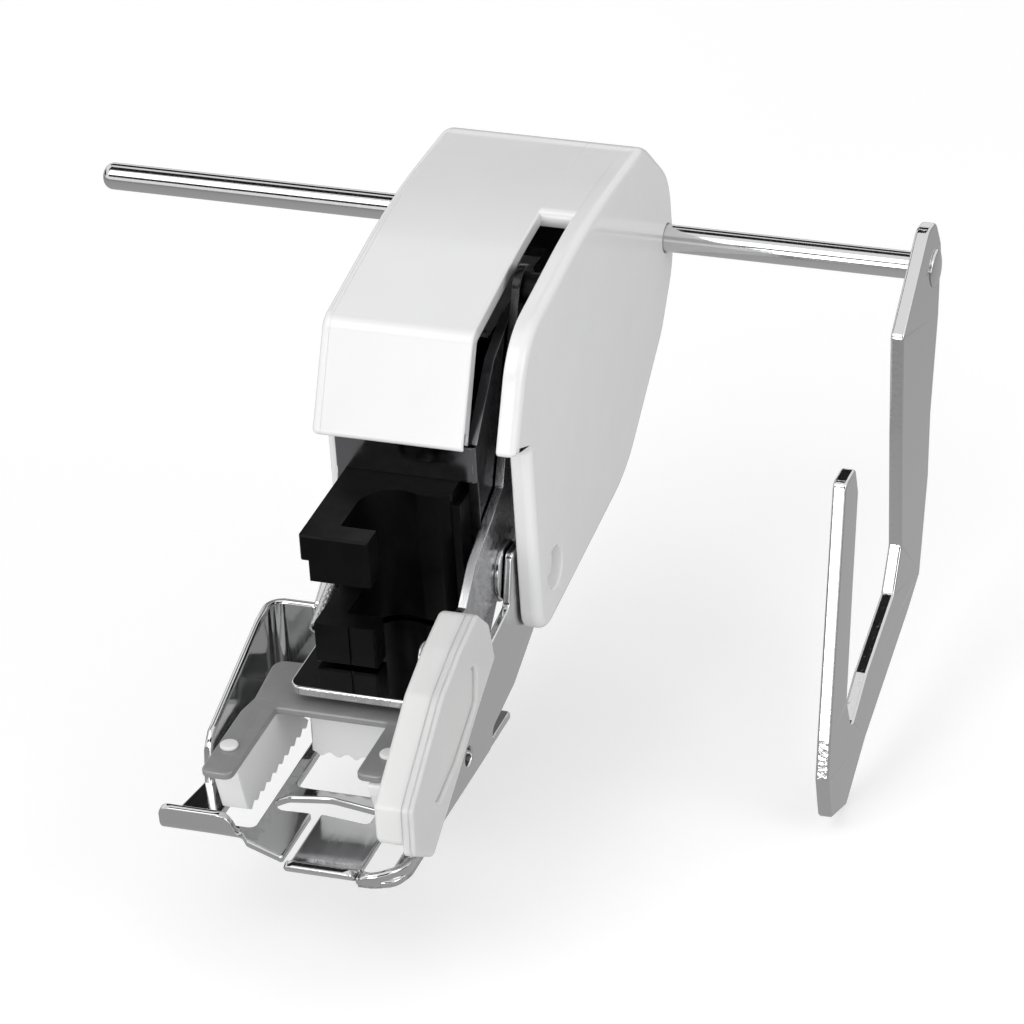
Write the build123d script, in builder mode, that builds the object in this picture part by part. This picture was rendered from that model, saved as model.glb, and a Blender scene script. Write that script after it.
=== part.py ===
from build123d import *
import os
from math import cos, radians, sin

os.makedirs("parts", exist_ok=True)

# Frame: X to the operator's right, Y to the back of the machine, Z up.
# The origin is on the axis of the presser bar, level with the clamp screw.
# Pairs of numbers in brackets are places in side view: Y first, then Z.

# Presser bar clamp: a black moulded block that hooks round the bar
bar_diameter = 7.2
bar_clearance = 0.05
screw_slot_height = 5.0
jaw_upper_height = 5.3
jaw_lower_height = 4.65
jaw_depth = 2.7
jaw_front_gap = 0.9
jaw_reach = 0.2
arm_thickness = 3.6
arm_rib_step = 0.9
arm_rib_height = 2.9
block_width = 12.4
block_seam = 0.25
groove_lip = 0.5
block_length = 9.35
block_lift = 0.35
edge_round = 0.4

# Folded steel frame
frame_sheet = 1.1
block_side_gap = 0.8
web_front = 6.6
web_height = 4.1
cheek_front_gap = 0.5
cheek_top = 20.5
cheek_rear = 47.0
cheek_bottom = -9.6
top_web_front = 34.0
top_web_length = 10.0

# Base plate under the block
base_sheet = 1.0
base_front = -11.8
base_overhang_left = 0.7
base_overhang_right = 0.3

# Rivets, screws and bosses
block_rivet_diameter = 3.8
rivet_head = 0.4
rivet_places = ((9.6, 5.2), (9.6, -0.4))
base_screw_head = 3.8
base_screw_places = ((-4.2, 8.3), (2.6, 8.3))
left_boss_places = ((30.0, 7.0), (43.0, 14.0))
right_boss_places = ((27.0, -4.0), (44.0, 8.0))
cover_screw_head = 3.8
cover_boss_diameter = 4.0
screw_head_height = 0.6
screw_slot_depth = 0.4
driver_slot = 0.55

# Moulded cover
cover_wall = 1.6
cover_left_plate = 1.0
cover_right_outer = 12.0
cover_left_gap = 0.9
cover_slot_width = 3.5
cover_slot_end = 32.0
cover_round = 0.8
cover_mouth = (5.2, 12.2)
cover_crease = (10.6, 23.1)
cover_top_mid = (31.0, 25.9)
cover_top_rear = (48.5, 25.3)
cover_back_upper = (56.3, 18.8)
cover_back_mid = (57.6, 9.6)
cover_back_lower = (54.2, 3.0)
cover_belly_rear = (38.5, -8.6)
cover_belly_front = (17.0, -11.4)
cover_tip = (12.6, -12.0)
cover_tip_rise = 3.2
cover_plate_front = 9.4
cover_step = (9.6, 10.2)
recess_diameter = 4.6
recess_depth = 1.1
pin_seat = 0.6

# Guide rod and guide blade
rod_diameter = 3.0
rod_axis = (55.2, 11.4)
rod_left_end = -53.4
rod_right_end = 40.4
rod_clearance = 0.05
rod_end_chamfer = 0.6
blade_thickness = 1.5
rivet_diameter = 2.2
rivet_head_diameter = 4.2
rivet_head_height = 0.35

# Leaf spring that holds the rod
leaf_sheet = 0.5
leaf_width = 7.0
leaf_centre_x = -1.0
leaf_screw_y = 38.0
leaf_screw_diameter = 2.0
leaf_screw_head = 3.8
leaf_screw_head_height = 1.2

# Fork lever
lever_sheet = 1.0
layer_gap = 0.1
fork_pivot = (9.9, -4.15)
pivot_diameter = 2.6
pivot_clearance = 0.05
boss_radius = 3.4
flange_thickness = 0.45
limb_end = (22.0, 22.5)
limb_width = 5.0
roller_diameter = 3.4
roller_width = 1.3
fork_inner_wall = 0.45
fork_width = 4.2
fork_gap = 0.3
fork_inner_step = 0.9
fork_rivet_places = ((-9.9, -2.9), (-10.8, -7.6))
fork_rivet_head = 3.0

# Feed carriage
carrier_sheet = 0.8
carrier_gap = 0.85
carrier_front = -12.2
carrier_rear = 1.0
carrier_tail = 19.5
carrier_left = -11.0
left_arm_edge = -12.05
arm_front = -26.2
arm_width = 3.35
right_arm_step = 1.45
right_arm_width = 3.1
carriage_pin = (17.0, -5.0)
carriage_pin_diameter = 2.4
carriage_ear = 0.8
ear_clearance = 0.2
dog_depth = 6.4
tooth_pitch = 1.2
tooth_depth = 0.45
stud_diameter = 1.8
stud_head_height = 0.35
stud_neck = 0.9
left_dog_left = -11.7
left_dog_width = 2.9
left_dog_front = -22.6
centre_dog_left = -6.4
centre_dog_width = 9.4
centre_dog_front = -10.3
right_dog_width = 1.55
right_dog_front = -21.5
dog_slot_gap_left = 1.1
dog_slot_gap_right = 0.8
dog_rear = -4.6

# Feed yoke that slides on two cross shafts
feed_travel = 1.5
shaft_diameter = 3.0
shaft_clearance = 0.05
upper_shaft = (24.0, 14.0)
lower_shaft = (25.0, 0.0)
yoke_sheet = 0.8
yoke_web_y = 20.6

# Coil springs
feed_spring_radius = 1.5
feed_spring_wire = 0.45
feed_spring_z = 4.5
hook_spring_radius = 0.7
hook_spring_wire = 0.3
spring_post_diameter = 1.0

# Sole bracket
sole_sheet = 0.85
sole_bottom = -19.35
sole_left = -16.6
sole_toe_left = -18.3
sole_rear = 5.5
sole_front = -28.4
sole_corner = 3.9
toe_left_end = -10.8
toe_root = -22.6
centre_toe_left = -2.9
centre_toe_right = 4.5
centre_toe_root = -25.6
slit_width = 1.0
left_toe_length = 4.0
left_toe_rise = 2.25
centre_toe_length = 3.2
centre_toe_rise = 1.25
wall_corner = 2.2
left_arm_right = -10.45
sole_pin = (14.7, -6.15)
sole_pin_diameter = 3.0
sole_pin_clearance = 0.05

# Derived places
bar_radius = bar_diameter / 2 + bar_clearance
slot_top = screw_slot_height / 2
slot_bottom = -screw_slot_height / 2
block_top = slot_top + jaw_upper_height
jaw_bottom = slot_bottom - jaw_lower_height
arm_inner = -bar_radius
block_left = arm_inner - arm_thickness
hook_inner = -bar_radius - jaw_front_gap
jaw_front = hook_inner - jaw_depth
slab_front = bar_radius - groove_lip
block_back = slab_front + block_length
base_top = jaw_bottom - block_lift
base_bottom = base_top - base_sheet
frame_width_inside = block_width + block_side_gap
cheek_left_inner = block_left
cheek_left_outer = cheek_left_inner - frame_sheet
cheek_right_inner = cheek_left_inner + frame_width_inside
cheek_right_outer = cheek_right_inner + frame_sheet
frame_width = frame_width_inside + 2 * frame_sheet
cover_left_inner = cheek_left_outer - cover_left_gap
cover_left_outer = cover_left_inner - cover_left_plate
lever_inner = cheek_right_outer + layer_gap
lever_outer = lever_inner + lever_sheet
flange_outer = lever_outer + flange_thickness
fork_left = lever_inner - fork_inner_wall
right_dog_left = fork_left - fork_gap - right_dog_width
right_arm_left = right_dog_left - right_arm_step
wall_inner = flange_outer + layer_gap
wall_outer = wall_inner + sole_sheet
cover_right_inner = wall_outer + 2 * layer_gap
carrier_top = base_bottom - carrier_gap
carrier_bottom = carrier_top - carrier_sheet
dog_bottom = carrier_bottom - dog_depth
sole_top = sole_bottom + sole_sheet
ear_left = cheek_left_inner + ear_clearance
ear_right = cheek_right_inner - ear_clearance
yoke_left = ear_left + carriage_ear + ear_clearance
yoke_right = ear_right - carriage_ear - ear_clearance
left_arm_left = left_arm_right - sole_sheet


def side_plane(x):
    """Plane of a side view at this X: its own x runs along Y and its own y along Z."""
    return Plane.YZ.offset(x)


def side_plate(x_start, thickness, corners, radius=0.0):
    """Flat plate square to X with this side outline; its corners are rounded by the radius."""
    with BuildSketch(side_plane(x_start)) as outline:
        with BuildLine():
            Polyline(*corners, close=True)
        make_face()
        if radius:
            fillet(outline.vertices(), radius)
    return extrude(outline.sketch, amount=thickness, mode=Mode.PRIVATE)


def side_pin(x_start, x_end, place, diameter):
    """Round pin along X through this place of the side view."""
    with BuildSketch(side_plane(x_start)) as section:
        with Locations(place):
            Circle(diameter / 2)
    return extrude(section.sketch, amount=x_end - x_start, mode=Mode.PRIVATE)


def level_plate(z_start, thickness, corners, radius=0.0):
    """Flat level plate with this plan outline."""
    with BuildSketch(Plane.XY.offset(z_start)) as outline:
        with BuildLine():
            Polyline(*corners, close=True)
        make_face()
        if radius:
            fillet(outline.vertices(), radius)
    return extrude(outline.sketch, amount=thickness, mode=Mode.PRIVATE)


def block(x_start, x_end, y_start, y_end, z_start, z_end):
    """Box between two corners."""
    size = (x_end - x_start, y_end - y_start, z_end - z_start)
    centre = ((x_start + x_end) / 2, (y_start + y_end) / 2, (z_start + z_end) / 2)
    return Pos(*centre) * Box(*size, mode=Mode.PRIVATE)


# Clamp block: slab behind the bar, left arm, and two jaws that hook round the front
with BuildPart() as shank_block:
    with BuildSketch(Plane.XY.offset(jaw_bottom)) as clamp_plan:
        with Locations((block_left, slab_front)):
            Rectangle(block_width, block_length, align=(Align.MIN, Align.MIN))
        fillet(clamp_plan.vertices().sort_by_distance((block_left + block_width, slab_front, jaw_bottom))[0], 1.3)
        with Locations((block_left, 0)):
            Rectangle(-block_left, slab_front, align=(Align.MIN, Align.MIN))
        with Locations((block_left, jaw_front)):
            Rectangle(arm_thickness, -jaw_front, align=(Align.MIN, Align.MIN))
            Rectangle(jaw_reach - block_left, jaw_depth, align=(Align.MIN, Align.MIN))
        Circle(bar_radius, mode=Mode.SUBTRACT)
    extrude(amount=block_top - jaw_bottom)
    front_face = shank_block.faces().sort_by(Axis.Y)[0]
    chamfer(front_face.edges(), edge_round / 2)
    # rear foot of the slab stands on the base plate
    add(block(block_left, cheek_right_inner, slab_front + 1.0, block_back, base_top, block_top - 1.4))
    # slot for the clamp screw, open to the front
    add(
        block(block_left - 1, jaw_reach + 1, jaw_front - 1, 0, slot_bottom, slot_top),
        mode=Mode.SUBTRACT,
    )
    add(side_pin(block_left - 1, jaw_reach, (0, 0), screw_slot_height), mode=Mode.SUBTRACT)
    # the arm is thinner below its top rib
    add(
        block(
            block_left - 1,
            block_left + arm_rib_step,
            jaw_front - 1,
            slab_front,
            jaw_bottom - 1,
            block_top - arm_rib_height,
        ),
        mode=Mode.SUBTRACT,
    )
    # moulding seam down the front of the lower jaw
    seam_x = block_left + arm_thickness + 1.1
    add(
        block(
            seam_x - block_seam / 2,
            seam_x + block_seam / 2,
            jaw_front - 1,
            jaw_front + block_seam,
            jaw_bottom - 1,
            slot_bottom,
        ),
        mode=Mode.SUBTRACT,
    )
shank_block.part.label = "shank_block"


with BuildPart() as frame_bracket:
    front = web_front + cheek_front_gap
    cheek = (
        (front, base_top),
        (front, block_top + 3.8),
        (front + 6.8, 18.3),
        (front + 12.0, cheek_top),
        (cheek_rear - 2.0, cheek_top),
        (cheek_rear, cheek_top - 4.0),
        (cheek_rear - 1.0, 9.0),
        (40.0, -1.5),
        (30.0, -7.6),
        (21.0, cheek_bottom),
        (block_back + 0.6, cheek_bottom),
        (block_back + 0.6, base_top),
    )
    add(side_plate(cheek_left_outer, frame_sheet, cheek))
    add(side_plate(cheek_right_inner, frame_sheet, cheek))
    # front web above the block, and top web over the rod spring
    add(
        block(
            cheek_left_outer,
            cheek_right_outer,
            web_front,
            web_front + frame_sheet,
            block_top,
            block_top + web_height,
        )
    )
    web_corners = frame_bracket.edges().filter_by(Axis.Z).group_by(Axis.Y)[0]
    fillet(web_corners, 0.45)
    add(
        block(
            cheek_left_outer,
            cheek_right_outer,
            top_web_front,
            top_web_front + top_web_length,
            cheek_top - frame_sheet,
            cheek_top,
        )
    )
    # holes for the shafts and the sole pins
    for place in (upper_shaft, lower_shaft):
        add(side_pin(cheek_left_outer - 1, cheek_right_outer + 1, place, shaft_diameter), mode=Mode.SUBTRACT)
    add(side_pin(cheek_left_outer - 1, cheek_right_outer + 1, sole_pin, sole_pin_diameter), mode=Mode.SUBTRACT)
    # hole of the fork pivot, in the right cheek alone
    add(side_pin(cheek_right_inner - 1, cheek_right_outer + 1, fork_pivot, pivot_diameter), mode=Mode.SUBTRACT)
    # tapped hole of the leaf spring's screw
    with Locations((leaf_centre_x, leaf_screw_y, cheek_top)):
        Hole(leaf_screw_diameter / 2, depth=frame_sheet)
    # heads of the rivets that hold the block
    for place in rivet_places:
        add(side_pin(cheek_left_outer - rivet_head, cheek_left_outer, place, block_rivet_diameter))
    # post for the hook spring
    post_place = (8.6, -5.6)
    add(side_pin(cover_left_outer + 0.1, cheek_left_outer, post_place, spring_post_diameter))
frame_bracket.part.label = "frame_bracket"


with BuildPart() as base_plate:
    plate_left = block_left - base_overhang_left
    plate_right = cheek_right_inner + base_overhang_right
    with BuildSketch(Plane.XY.offset(base_bottom)) as plate_plan:
        with Locations((plate_left, base_front)):
            Rectangle(plate_right - plate_left, block_back - base_front, align=(Align.MIN, Align.MIN))
        fillet(plate_plan.vertices().group_by(Axis.Y)[0], 0.8)
    extrude(amount=base_sheet)
    # slotted heads of the screws that hold the block, in one piece with the plate
    for place in base_screw_places:
        with Locations((*place, base_bottom)):
            Cylinder(base_screw_head / 2, screw_slot_depth, align=(Align.CENTER, Align.CENTER, Align.MAX))
        with Locations((*place, base_bottom - screw_slot_depth)):
            Box(
                base_screw_head,
                driver_slot,
                screw_slot_depth,
                align=(Align.CENTER, Align.CENTER, Align.MIN),
                mode=Mode.SUBTRACT,
            )
base_plate.part.label = "base_plate"


def cover_back(start, heading, points):
    """Chain of tangent arcs round the cover's rear, in an open line builder."""
    for point in points:
        arc = TangentArc(start, point, tangent=heading)
        start = point
        heading = arc % 1


def cover_face(x):
    """Side outline of the cover's plates at this X."""
    tip_end = (cover_plate_front, cover_tip[1] + cover_tip_rise)
    with BuildSketch(side_plane(x)) as outline:
        with BuildLine():
            Line(cover_mouth, cover_crease)
            top = ThreePointArc(cover_crease, cover_top_mid, cover_top_rear)
            cover_back(cover_top_rear, top % 1, (cover_back_upper, cover_back_mid, cover_back_lower))
            Polyline(cover_back_lower, cover_belly_rear, cover_belly_front, cover_tip)
            belly_run = (cover_tip[0] - cover_belly_front[0], cover_tip[1] - cover_belly_front[1])
            TangentArc(cover_tip, tip_end, tangent=belly_run)
            Polyline(tip_end, cover_step, cover_mouth)
        make_face()
    return outline.sketch


def hollow_face(x):
    """Side outline of the cover's hollow: the outer line drawn in by the wall, open at the belly."""
    front = (cover_mouth[0] + 1.12 * cover_wall, cover_mouth[1])
    crease = (cover_crease[0] + 0.75 * cover_wall, cover_crease[1] - 0.8 * cover_wall)
    top_mid = (cover_top_mid[0], cover_top_mid[1] - cover_wall)
    top_rear = (cover_top_rear[0] - 0.2, cover_top_rear[1] - cover_wall)
    back_upper = (cover_back_upper[0] - 0.95 * cover_wall, cover_back_upper[1] - 0.35 * cover_wall)
    back_mid = (cover_back_mid[0] - cover_wall, cover_back_mid[1])
    back_lower = (cover_back_lower[0] - 0.6 * cover_wall, cover_back_lower[1] + 0.8 * cover_wall)
    belly = (cover_belly_rear[0] - 0.7 * cover_wall, cover_belly_rear[1] + 0.8 * cover_wall)
    with BuildSketch(side_plane(x)) as outline:
        with BuildLine():
            Line(front, crease)
            top = ThreePointArc(crease, top_mid, top_rear)
            cover_back(top_rear, top % 1, (back_upper, back_mid, back_lower))
            Polyline(back_lower, belly, (belly[0], -14.0), (0.0, -14.0), (0.0, cover_mouth[1]), front)
        make_face()
    return outline.sketch


with BuildPart() as cover:
    extrude(cover_face(cover_left_outer), amount=cover_right_outer - cover_left_outer)
    side_faces = cover.faces().filter_by(Axis.X)
    chamfer(side_faces.edges().filter_by(lambda edge: edge.length > 4), cover_round)
    # hollow between the plates, open below the front wall and along the belly
    hollow_width = cover_right_inner - cover_left_inner
    add(extrude(hollow_face(cover_left_inner), amount=hollow_width, mode=Mode.PRIVATE), mode=Mode.SUBTRACT)
    # slot beside the right plate, through the front wall and the front of the top
    add(
        block(cover_right_inner - cover_slot_width, cover_right_inner, 0, cover_slot_end, 5.0, 40.0),
        mode=Mode.SUBTRACT,
    )
    # bores of the guide rod
    add(
        side_pin(cover_left_outer - 1, cover_right_outer + 1, rod_axis, rod_diameter + 2 * rod_clearance),
        mode=Mode.SUBTRACT,
    )
    # round recess over the sole pin, and the blind seat of the pin's end
    add(
        side_pin(cover_right_outer - recess_depth, cover_right_outer + 1, sole_pin, recess_diameter),
        mode=Mode.SUBTRACT,
    )
    add(
        side_pin(cover_left_outer - 1, cover_right_inner + pin_seat, sole_pin, sole_pin_diameter),
        mode=Mode.SUBTRACT,
    )
    # bosses that carry the cover on the frame's cheeks
    for place in left_boss_places:
        add(side_pin(cover_left_inner, cheek_left_outer, place, cover_boss_diameter))
    for place in right_boss_places:
        add(side_pin(cheek_right_outer, cover_right_inner, place, cover_boss_diameter))
    # slotted heads of the screws in the left bosses, in one piece with the plate
    head_left = cover_left_outer - screw_head_height
    for place in left_boss_places:
        add(side_pin(head_left, cover_left_outer, place, cover_screw_head))
        slot_y, slot_z = place
        slot_reach = cover_screw_head / 2
        add(
            block(
                head_left,
                head_left + screw_head_height / 2,
                slot_y - slot_reach,
                slot_y + slot_reach,
                slot_z - driver_slot / 2,
                slot_z + driver_slot / 2,
            ),
            mode=Mode.SUBTRACT,
        )
cover.part.label = "cover"


# Sole bracket: one folded sheet with the sole plate, two walls, the back tab and two hinge arms
with BuildPart() as sole_bracket:
    right_corner = (wall_outer, sole_front)
    sole_plan = (
        (sole_left, sole_rear),
        (sole_left, -14.0),
        (sole_left - 1.0, -20.5),
        (sole_toe_left, toe_root),
        (toe_left_end, toe_root),
        (toe_left_end, -23.9),
        (centre_toe_left - slit_width, -26.2),
        (centre_toe_left, -26.2),
        (centre_toe_left, centre_toe_root),
        (centre_toe_right, centre_toe_root),
        (centre_toe_right, sole_front),
        right_corner,
        (wall_outer, sole_rear),
    )
    with BuildSketch(Plane.XY.offset(sole_bottom)) as plate_outline:
        with BuildLine():
            Polyline(*sole_plan, close=True)
        make_face()
        corner_radius = min(sole_corner, wall_outer - centre_toe_right - sole_sheet)
        fillet(plate_outline.vertices().sort_by_distance((*right_corner, sole_bottom))[0], corner_radius)
    extrude(amount=sole_sheet)
    # left toe, turned up well above the plate
    with BuildSketch(side_plane(sole_toe_left)):
        with BuildLine():
            left_tip = (toe_root - left_toe_length, sole_bottom + left_toe_rise)
            left_tip_top = (left_tip[0] + 0.7 * sole_sheet, left_tip[1] + 0.8 * sole_sheet)
            left_bend = (toe_root - 0.575 * left_toe_length, sole_bottom + 0.22 * left_toe_rise)
            left_bend_top = (toe_root - 0.475 * left_toe_length, sole_top + 0.2 * left_toe_rise)
            ThreePointArc((toe_root, sole_bottom), left_bend, left_tip)
            Line(left_tip, left_tip_top)
            ThreePointArc(left_tip_top, left_bend_top, (toe_root, sole_top))
            Line((toe_root, sole_top), (toe_root, sole_bottom))
        make_face()
    extrude(amount=toe_left_end - sole_toe_left)
    # centre toe, turned up a little
    with BuildSketch(side_plane(centre_toe_left)):
        with BuildLine():
            centre_tip = (centre_toe_root - centre_toe_length, sole_bottom + centre_toe_rise)
            centre_tip_top = (centre_tip[0] + 0.6 * sole_sheet, centre_tip[1] + 0.8 * sole_sheet)
            centre_bend = (centre_toe_root - 0.56 * centre_toe_length, sole_bottom + 0.24 * centre_toe_rise)
            centre_bend_top = (centre_toe_root - 0.47 * centre_toe_length, sole_top + 0.24 * centre_toe_rise)
            ThreePointArc((centre_toe_root, sole_bottom), centre_bend, centre_tip)
            Line(centre_tip, centre_tip_top)
            ThreePointArc(centre_tip_top, centre_bend_top, (centre_toe_root, sole_top))
            Line((centre_toe_root, sole_top), (centre_toe_root, sole_bottom))
        make_face()
    extrude(amount=centre_toe_right - centre_toe_left)
    # left wall and back tab, bent round one corner
    with BuildSketch(Plane.XY.offset(sole_bottom)) as wall_plan:
        with Locations((sole_left, -16.0)):
            Rectangle(left_arm_right - sole_left, sole_rear + 16.0, align=(Align.MIN, Align.MIN))
        fillet(wall_plan.vertices().sort_by_distance((sole_left, sole_rear, sole_bottom))[0], wall_corner)
        with BuildSketch(Plane.XY.offset(sole_bottom), mode=Mode.PRIVATE) as wall_inside:
            with Locations((sole_left + sole_sheet, -17.0)):
                Rectangle(20.0, sole_rear - sole_sheet + 17.0, align=(Align.MIN, Align.MIN))
            inside_corner = (sole_left + sole_sheet, sole_rear - sole_sheet, sole_bottom)
            fillet(wall_inside.vertices().sort_by_distance(inside_corner)[0], wall_corner - sole_sheet)
        add(wall_inside.sketch, mode=Mode.SUBTRACT)
    extrude(amount=-8.1 - sole_bottom)
    over_wall = (
        (-17.0, -19.3),
        (-14.9, -19.0),
        (-14.5, -14.3),
        (-13.6, -13.3),
        (1.3, -8.5),
        (3.7, -8.15),
        (6.5, -8.15),
        (6.5, -5.0),
        (-17.0, -5.0),
    )
    add(side_plate(sole_left - 1, left_arm_right - sole_left + 1.5, over_wall), mode=Mode.SUBTRACT)
    # left hinge arm, outside the cover
    left_arm = (
        (sole_rear - sole_sheet, -17.0),
        (sole_rear - sole_sheet, -8.15),
        (12.6, -3.4),
        (16.6, -3.4),
        (17.8, -6.2),
        (16.4, -9.6),
        (9.0, -13.6),
        (7.0, -17.0),
    )
    add(side_plate(left_arm_left, sole_sheet, left_arm, 0.9))
    # right wall with its hinge arm
    right_wall = (
        (-21.0, sole_bottom),
        (-0.8, sole_bottom),
        (0.4, -17.35),
        (7.1, -16.25),
        (13.7, -13.55),
        (18.2, -8.6),
        (18.0, -3.6),
        (14.7, -1.9),
        (8.9, -1.5),
        (7.2, -6.9),
        (1.7, -7.75),
        (-1.5, -9.0),
        (-20.2, -17.75),
    )
    add(side_plate(wall_inner, sole_sheet, right_wall))
    # holes of the hinge pins, and a small hole in the right wall
    add(
        side_pin(
            left_arm_left - 1,
            wall_outer + 1,
            sole_pin,
            sole_pin_diameter + 2 * sole_pin_clearance,
        ),
        mode=Mode.SUBTRACT,
    )
    add(side_pin(wall_inner - 1, wall_outer + 1, (-7.2, -16.2), 2.1), mode=Mode.SUBTRACT)
    # rear opening and the two side slots for the feed dogs
    left_dog_right = left_dog_left + left_dog_width
    centre_dog_right = centre_dog_left + centre_dog_width
    dog_openings = (
        (centre_dog_left - 1.2, centre_dog_right + 0.3, -13.2, 1.5),
        (left_dog_left - dog_slot_gap_left, left_dog_right + dog_slot_gap_right, -23.4, 0.5),
        (right_dog_left - 0.25, right_dog_left + right_dog_width + 1.2, -26.8, -2.0),
    )
    for x_start, x_end, y_start, y_end in dog_openings:
        with BuildSketch(Plane.XY.offset(sole_bottom - 1)) as opening_plan:
            with Locations(((x_start + x_end) / 2, (y_start + y_end) / 2)):
                RectangleRounded(x_end - x_start, y_end - y_start, 0.9)
        extrude(amount=4, mode=Mode.SUBTRACT)
    # needle slot: a crescent with a stem that runs out at the front edge
    with BuildSketch(Plane.XY.offset(sole_bottom - 1)):
        with BuildLine():
            ThreePointArc((-7.4, -15.6), (-3.0, -14.7), (2.5, -15.7))
            Line((2.5, -15.7), (2.5, -18.3))
            ThreePointArc((2.5, -18.3), (-3.0, -17.6), (-7.4, -17.9))
            ThreePointArc((-7.4, -17.9), (-8.3, -16.8), (-7.4, -15.6))
        make_face()
        with Locations((centre_toe_left - slit_width, sole_front - 1)):
            Rectangle(slit_width, 11.5, align=(Align.MIN, Align.MIN))
    extrude(amount=4, mode=Mode.SUBTRACT)
sole_bracket.part.label = "sole_bracket"


with BuildPart() as sole_pins:
    add(side_pin(cheek_right_inner, cover_right_inner + pin_seat, sole_pin, sole_pin_diameter))
    add(side_pin(left_arm_left - 0.5, cheek_left_inner, sole_pin, sole_pin_diameter))
sole_pins.part.label = "sole_pins"


with BuildPart() as fork_pivot_pin:
    add(side_pin(cheek_right_inner, flange_outer, fork_pivot, pivot_diameter))
fork_pivot_pin.part.label = "fork_pivot_pin"


# Fork lever: front arm with the tang, boss, and upper limb
limb_run = (limb_end[0] - fork_pivot[0], limb_end[1] - fork_pivot[1])
limb_length = (limb_run[0] ** 2 + limb_run[1] ** 2) ** 0.5
side_step = (
    -limb_run[1] / limb_length * limb_width / 2,
    limb_run[0] / limb_length * limb_width / 2,
)
tang_outline = (
    (2.0, 1.05),
    (-1.5, -2.15),
    (-7.5, -1.6),
    (-11.8, -1.9),
    (-14.2, -8.6),
    (-3.5, -8.2),
    (0.5, -9.3),
    (4.0, -9.55),
    (6.8, -6.95),
    (9.9, -4.15),
    (12.1, 5.2),
)
with BuildPart() as fork_lever:
    add(side_plate(lever_inner, lever_sheet, tang_outline))
    limb_outline = (
        (fork_pivot[0] + side_step[0], fork_pivot[1] + side_step[1]),
        (limb_end[0] + side_step[0], limb_end[1] + side_step[1]),
        (limb_end[0] - side_step[0], limb_end[1] - side_step[1]),
        (fork_pivot[0] - side_step[0], fork_pivot[1] - side_step[1]),
    )
    add(side_plate(lever_inner, lever_sheet, limb_outline))
    add(side_pin(lever_inner, lever_outer, fork_pivot, 2 * boss_radius))
    add(side_pin(lever_inner, lever_outer, limb_end, limb_width))
    add(
        side_pin(lever_inner - 1, lever_outer + 1, fork_pivot, pivot_diameter + 2 * pivot_clearance),
        mode=Mode.SUBTRACT,
    )
fork_lever.part.label = "fork_lever"


with BuildPart() as pivot_bush:
    add(side_pin(lever_outer, flange_outer, fork_pivot, 2 * boss_radius - 0.4))
    add(
        side_pin(lever_outer, flange_outer, fork_pivot, pivot_diameter + 2 * pivot_clearance),
        mode=Mode.SUBTRACT,
    )
pivot_bush.part.label = "pivot_bush"


with BuildPart() as lever_roller:
    add(side_pin(lever_outer, lever_outer + roller_width, limb_end, roller_diameter))
lever_roller.part.label = "lever_roller"


with BuildPart() as nylon_fork:
    fork_outline = (
        (-8.3, 0.9),
        (-28.5, -9.0),
        (-23.2, -18.0),
        (-1.5, -7.85),
    )
    add(side_plate(fork_left, fork_width, fork_outline, 0.7))
    long_edges = nylon_fork.faces().sort_by(Axis.X)[-1].edges()
    fillet(long_edges, 0.6)
    # the inner side is cut back at the front, below the clamp screw's rest
    inner_cut = (
        (-30.0, -13.6),
        (-26.3, -13.6),
        (-24.0, -16.6),
        (-18.0, -20.0),
        (-30.0, -20.0),
    )
    add(side_plate(fork_left - 1, fork_inner_step + 1, inner_cut), mode=Mode.SUBTRACT)
    # the tang sits in a moulded pocket
    add(side_plate(lever_inner, lever_sheet, tang_outline), mode=Mode.SUBTRACT)
    # heads of the rivets through the tang, in one piece with the fork
    for place in fork_rivet_places:
        add(side_pin(fork_left - rivet_head, fork_left, place, fork_rivet_head))
nylon_fork.part.label = "nylon_fork"


with BuildPart() as cross_shafts:
    for place in (upper_shaft, lower_shaft):
        add(side_pin(cheek_left_outer, cheek_right_outer, place, shaft_diameter))
cross_shafts.part.label = "cross_shafts"


def shaft_slot(place):
    """Long hole in which the yoke can slide back past a shaft."""
    reach = shaft_diameter / 2 + shaft_clearance
    place_y, place_z = place
    return block(
        yoke_left - 1,
        yoke_right + 1,
        place_y - feed_travel - reach,
        place_y + reach,
        place_z - reach,
        place_z + reach,
    )


with BuildPart() as feed_yoke:
    yoke_outline = (
        (14.4, -7.4),
        (19.6, -7.4),
        (28.8, -2.8),
        (28.8, 3.0),
        (27.8, 17.0),
        (20.6, 17.0),
        (20.2, 3.0),
        (14.4, -2.4),
    )
    add(side_plate(yoke_left, yoke_sheet, yoke_outline))
    add(side_plate(yoke_right - yoke_sheet, yoke_sheet, yoke_outline))
    add(block(yoke_left, yoke_right, yoke_web_y, yoke_web_y + yoke_sheet, 2.2, 16.4))
    add(shaft_slot(upper_shaft), mode=Mode.SUBTRACT)
    add(shaft_slot(lower_shaft), mode=Mode.SUBTRACT)
    add(side_pin(yoke_left - 1, yoke_right + 1, carriage_pin, carriage_pin_diameter), mode=Mode.SUBTRACT)
feed_yoke.part.label = "feed_yoke"


with BuildPart() as carriage_pin_shaft:
    add(side_pin(ear_left, ear_right, carriage_pin, carriage_pin_diameter))
carriage_pin_shaft.part.label = "carriage_pin_shaft"


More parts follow.
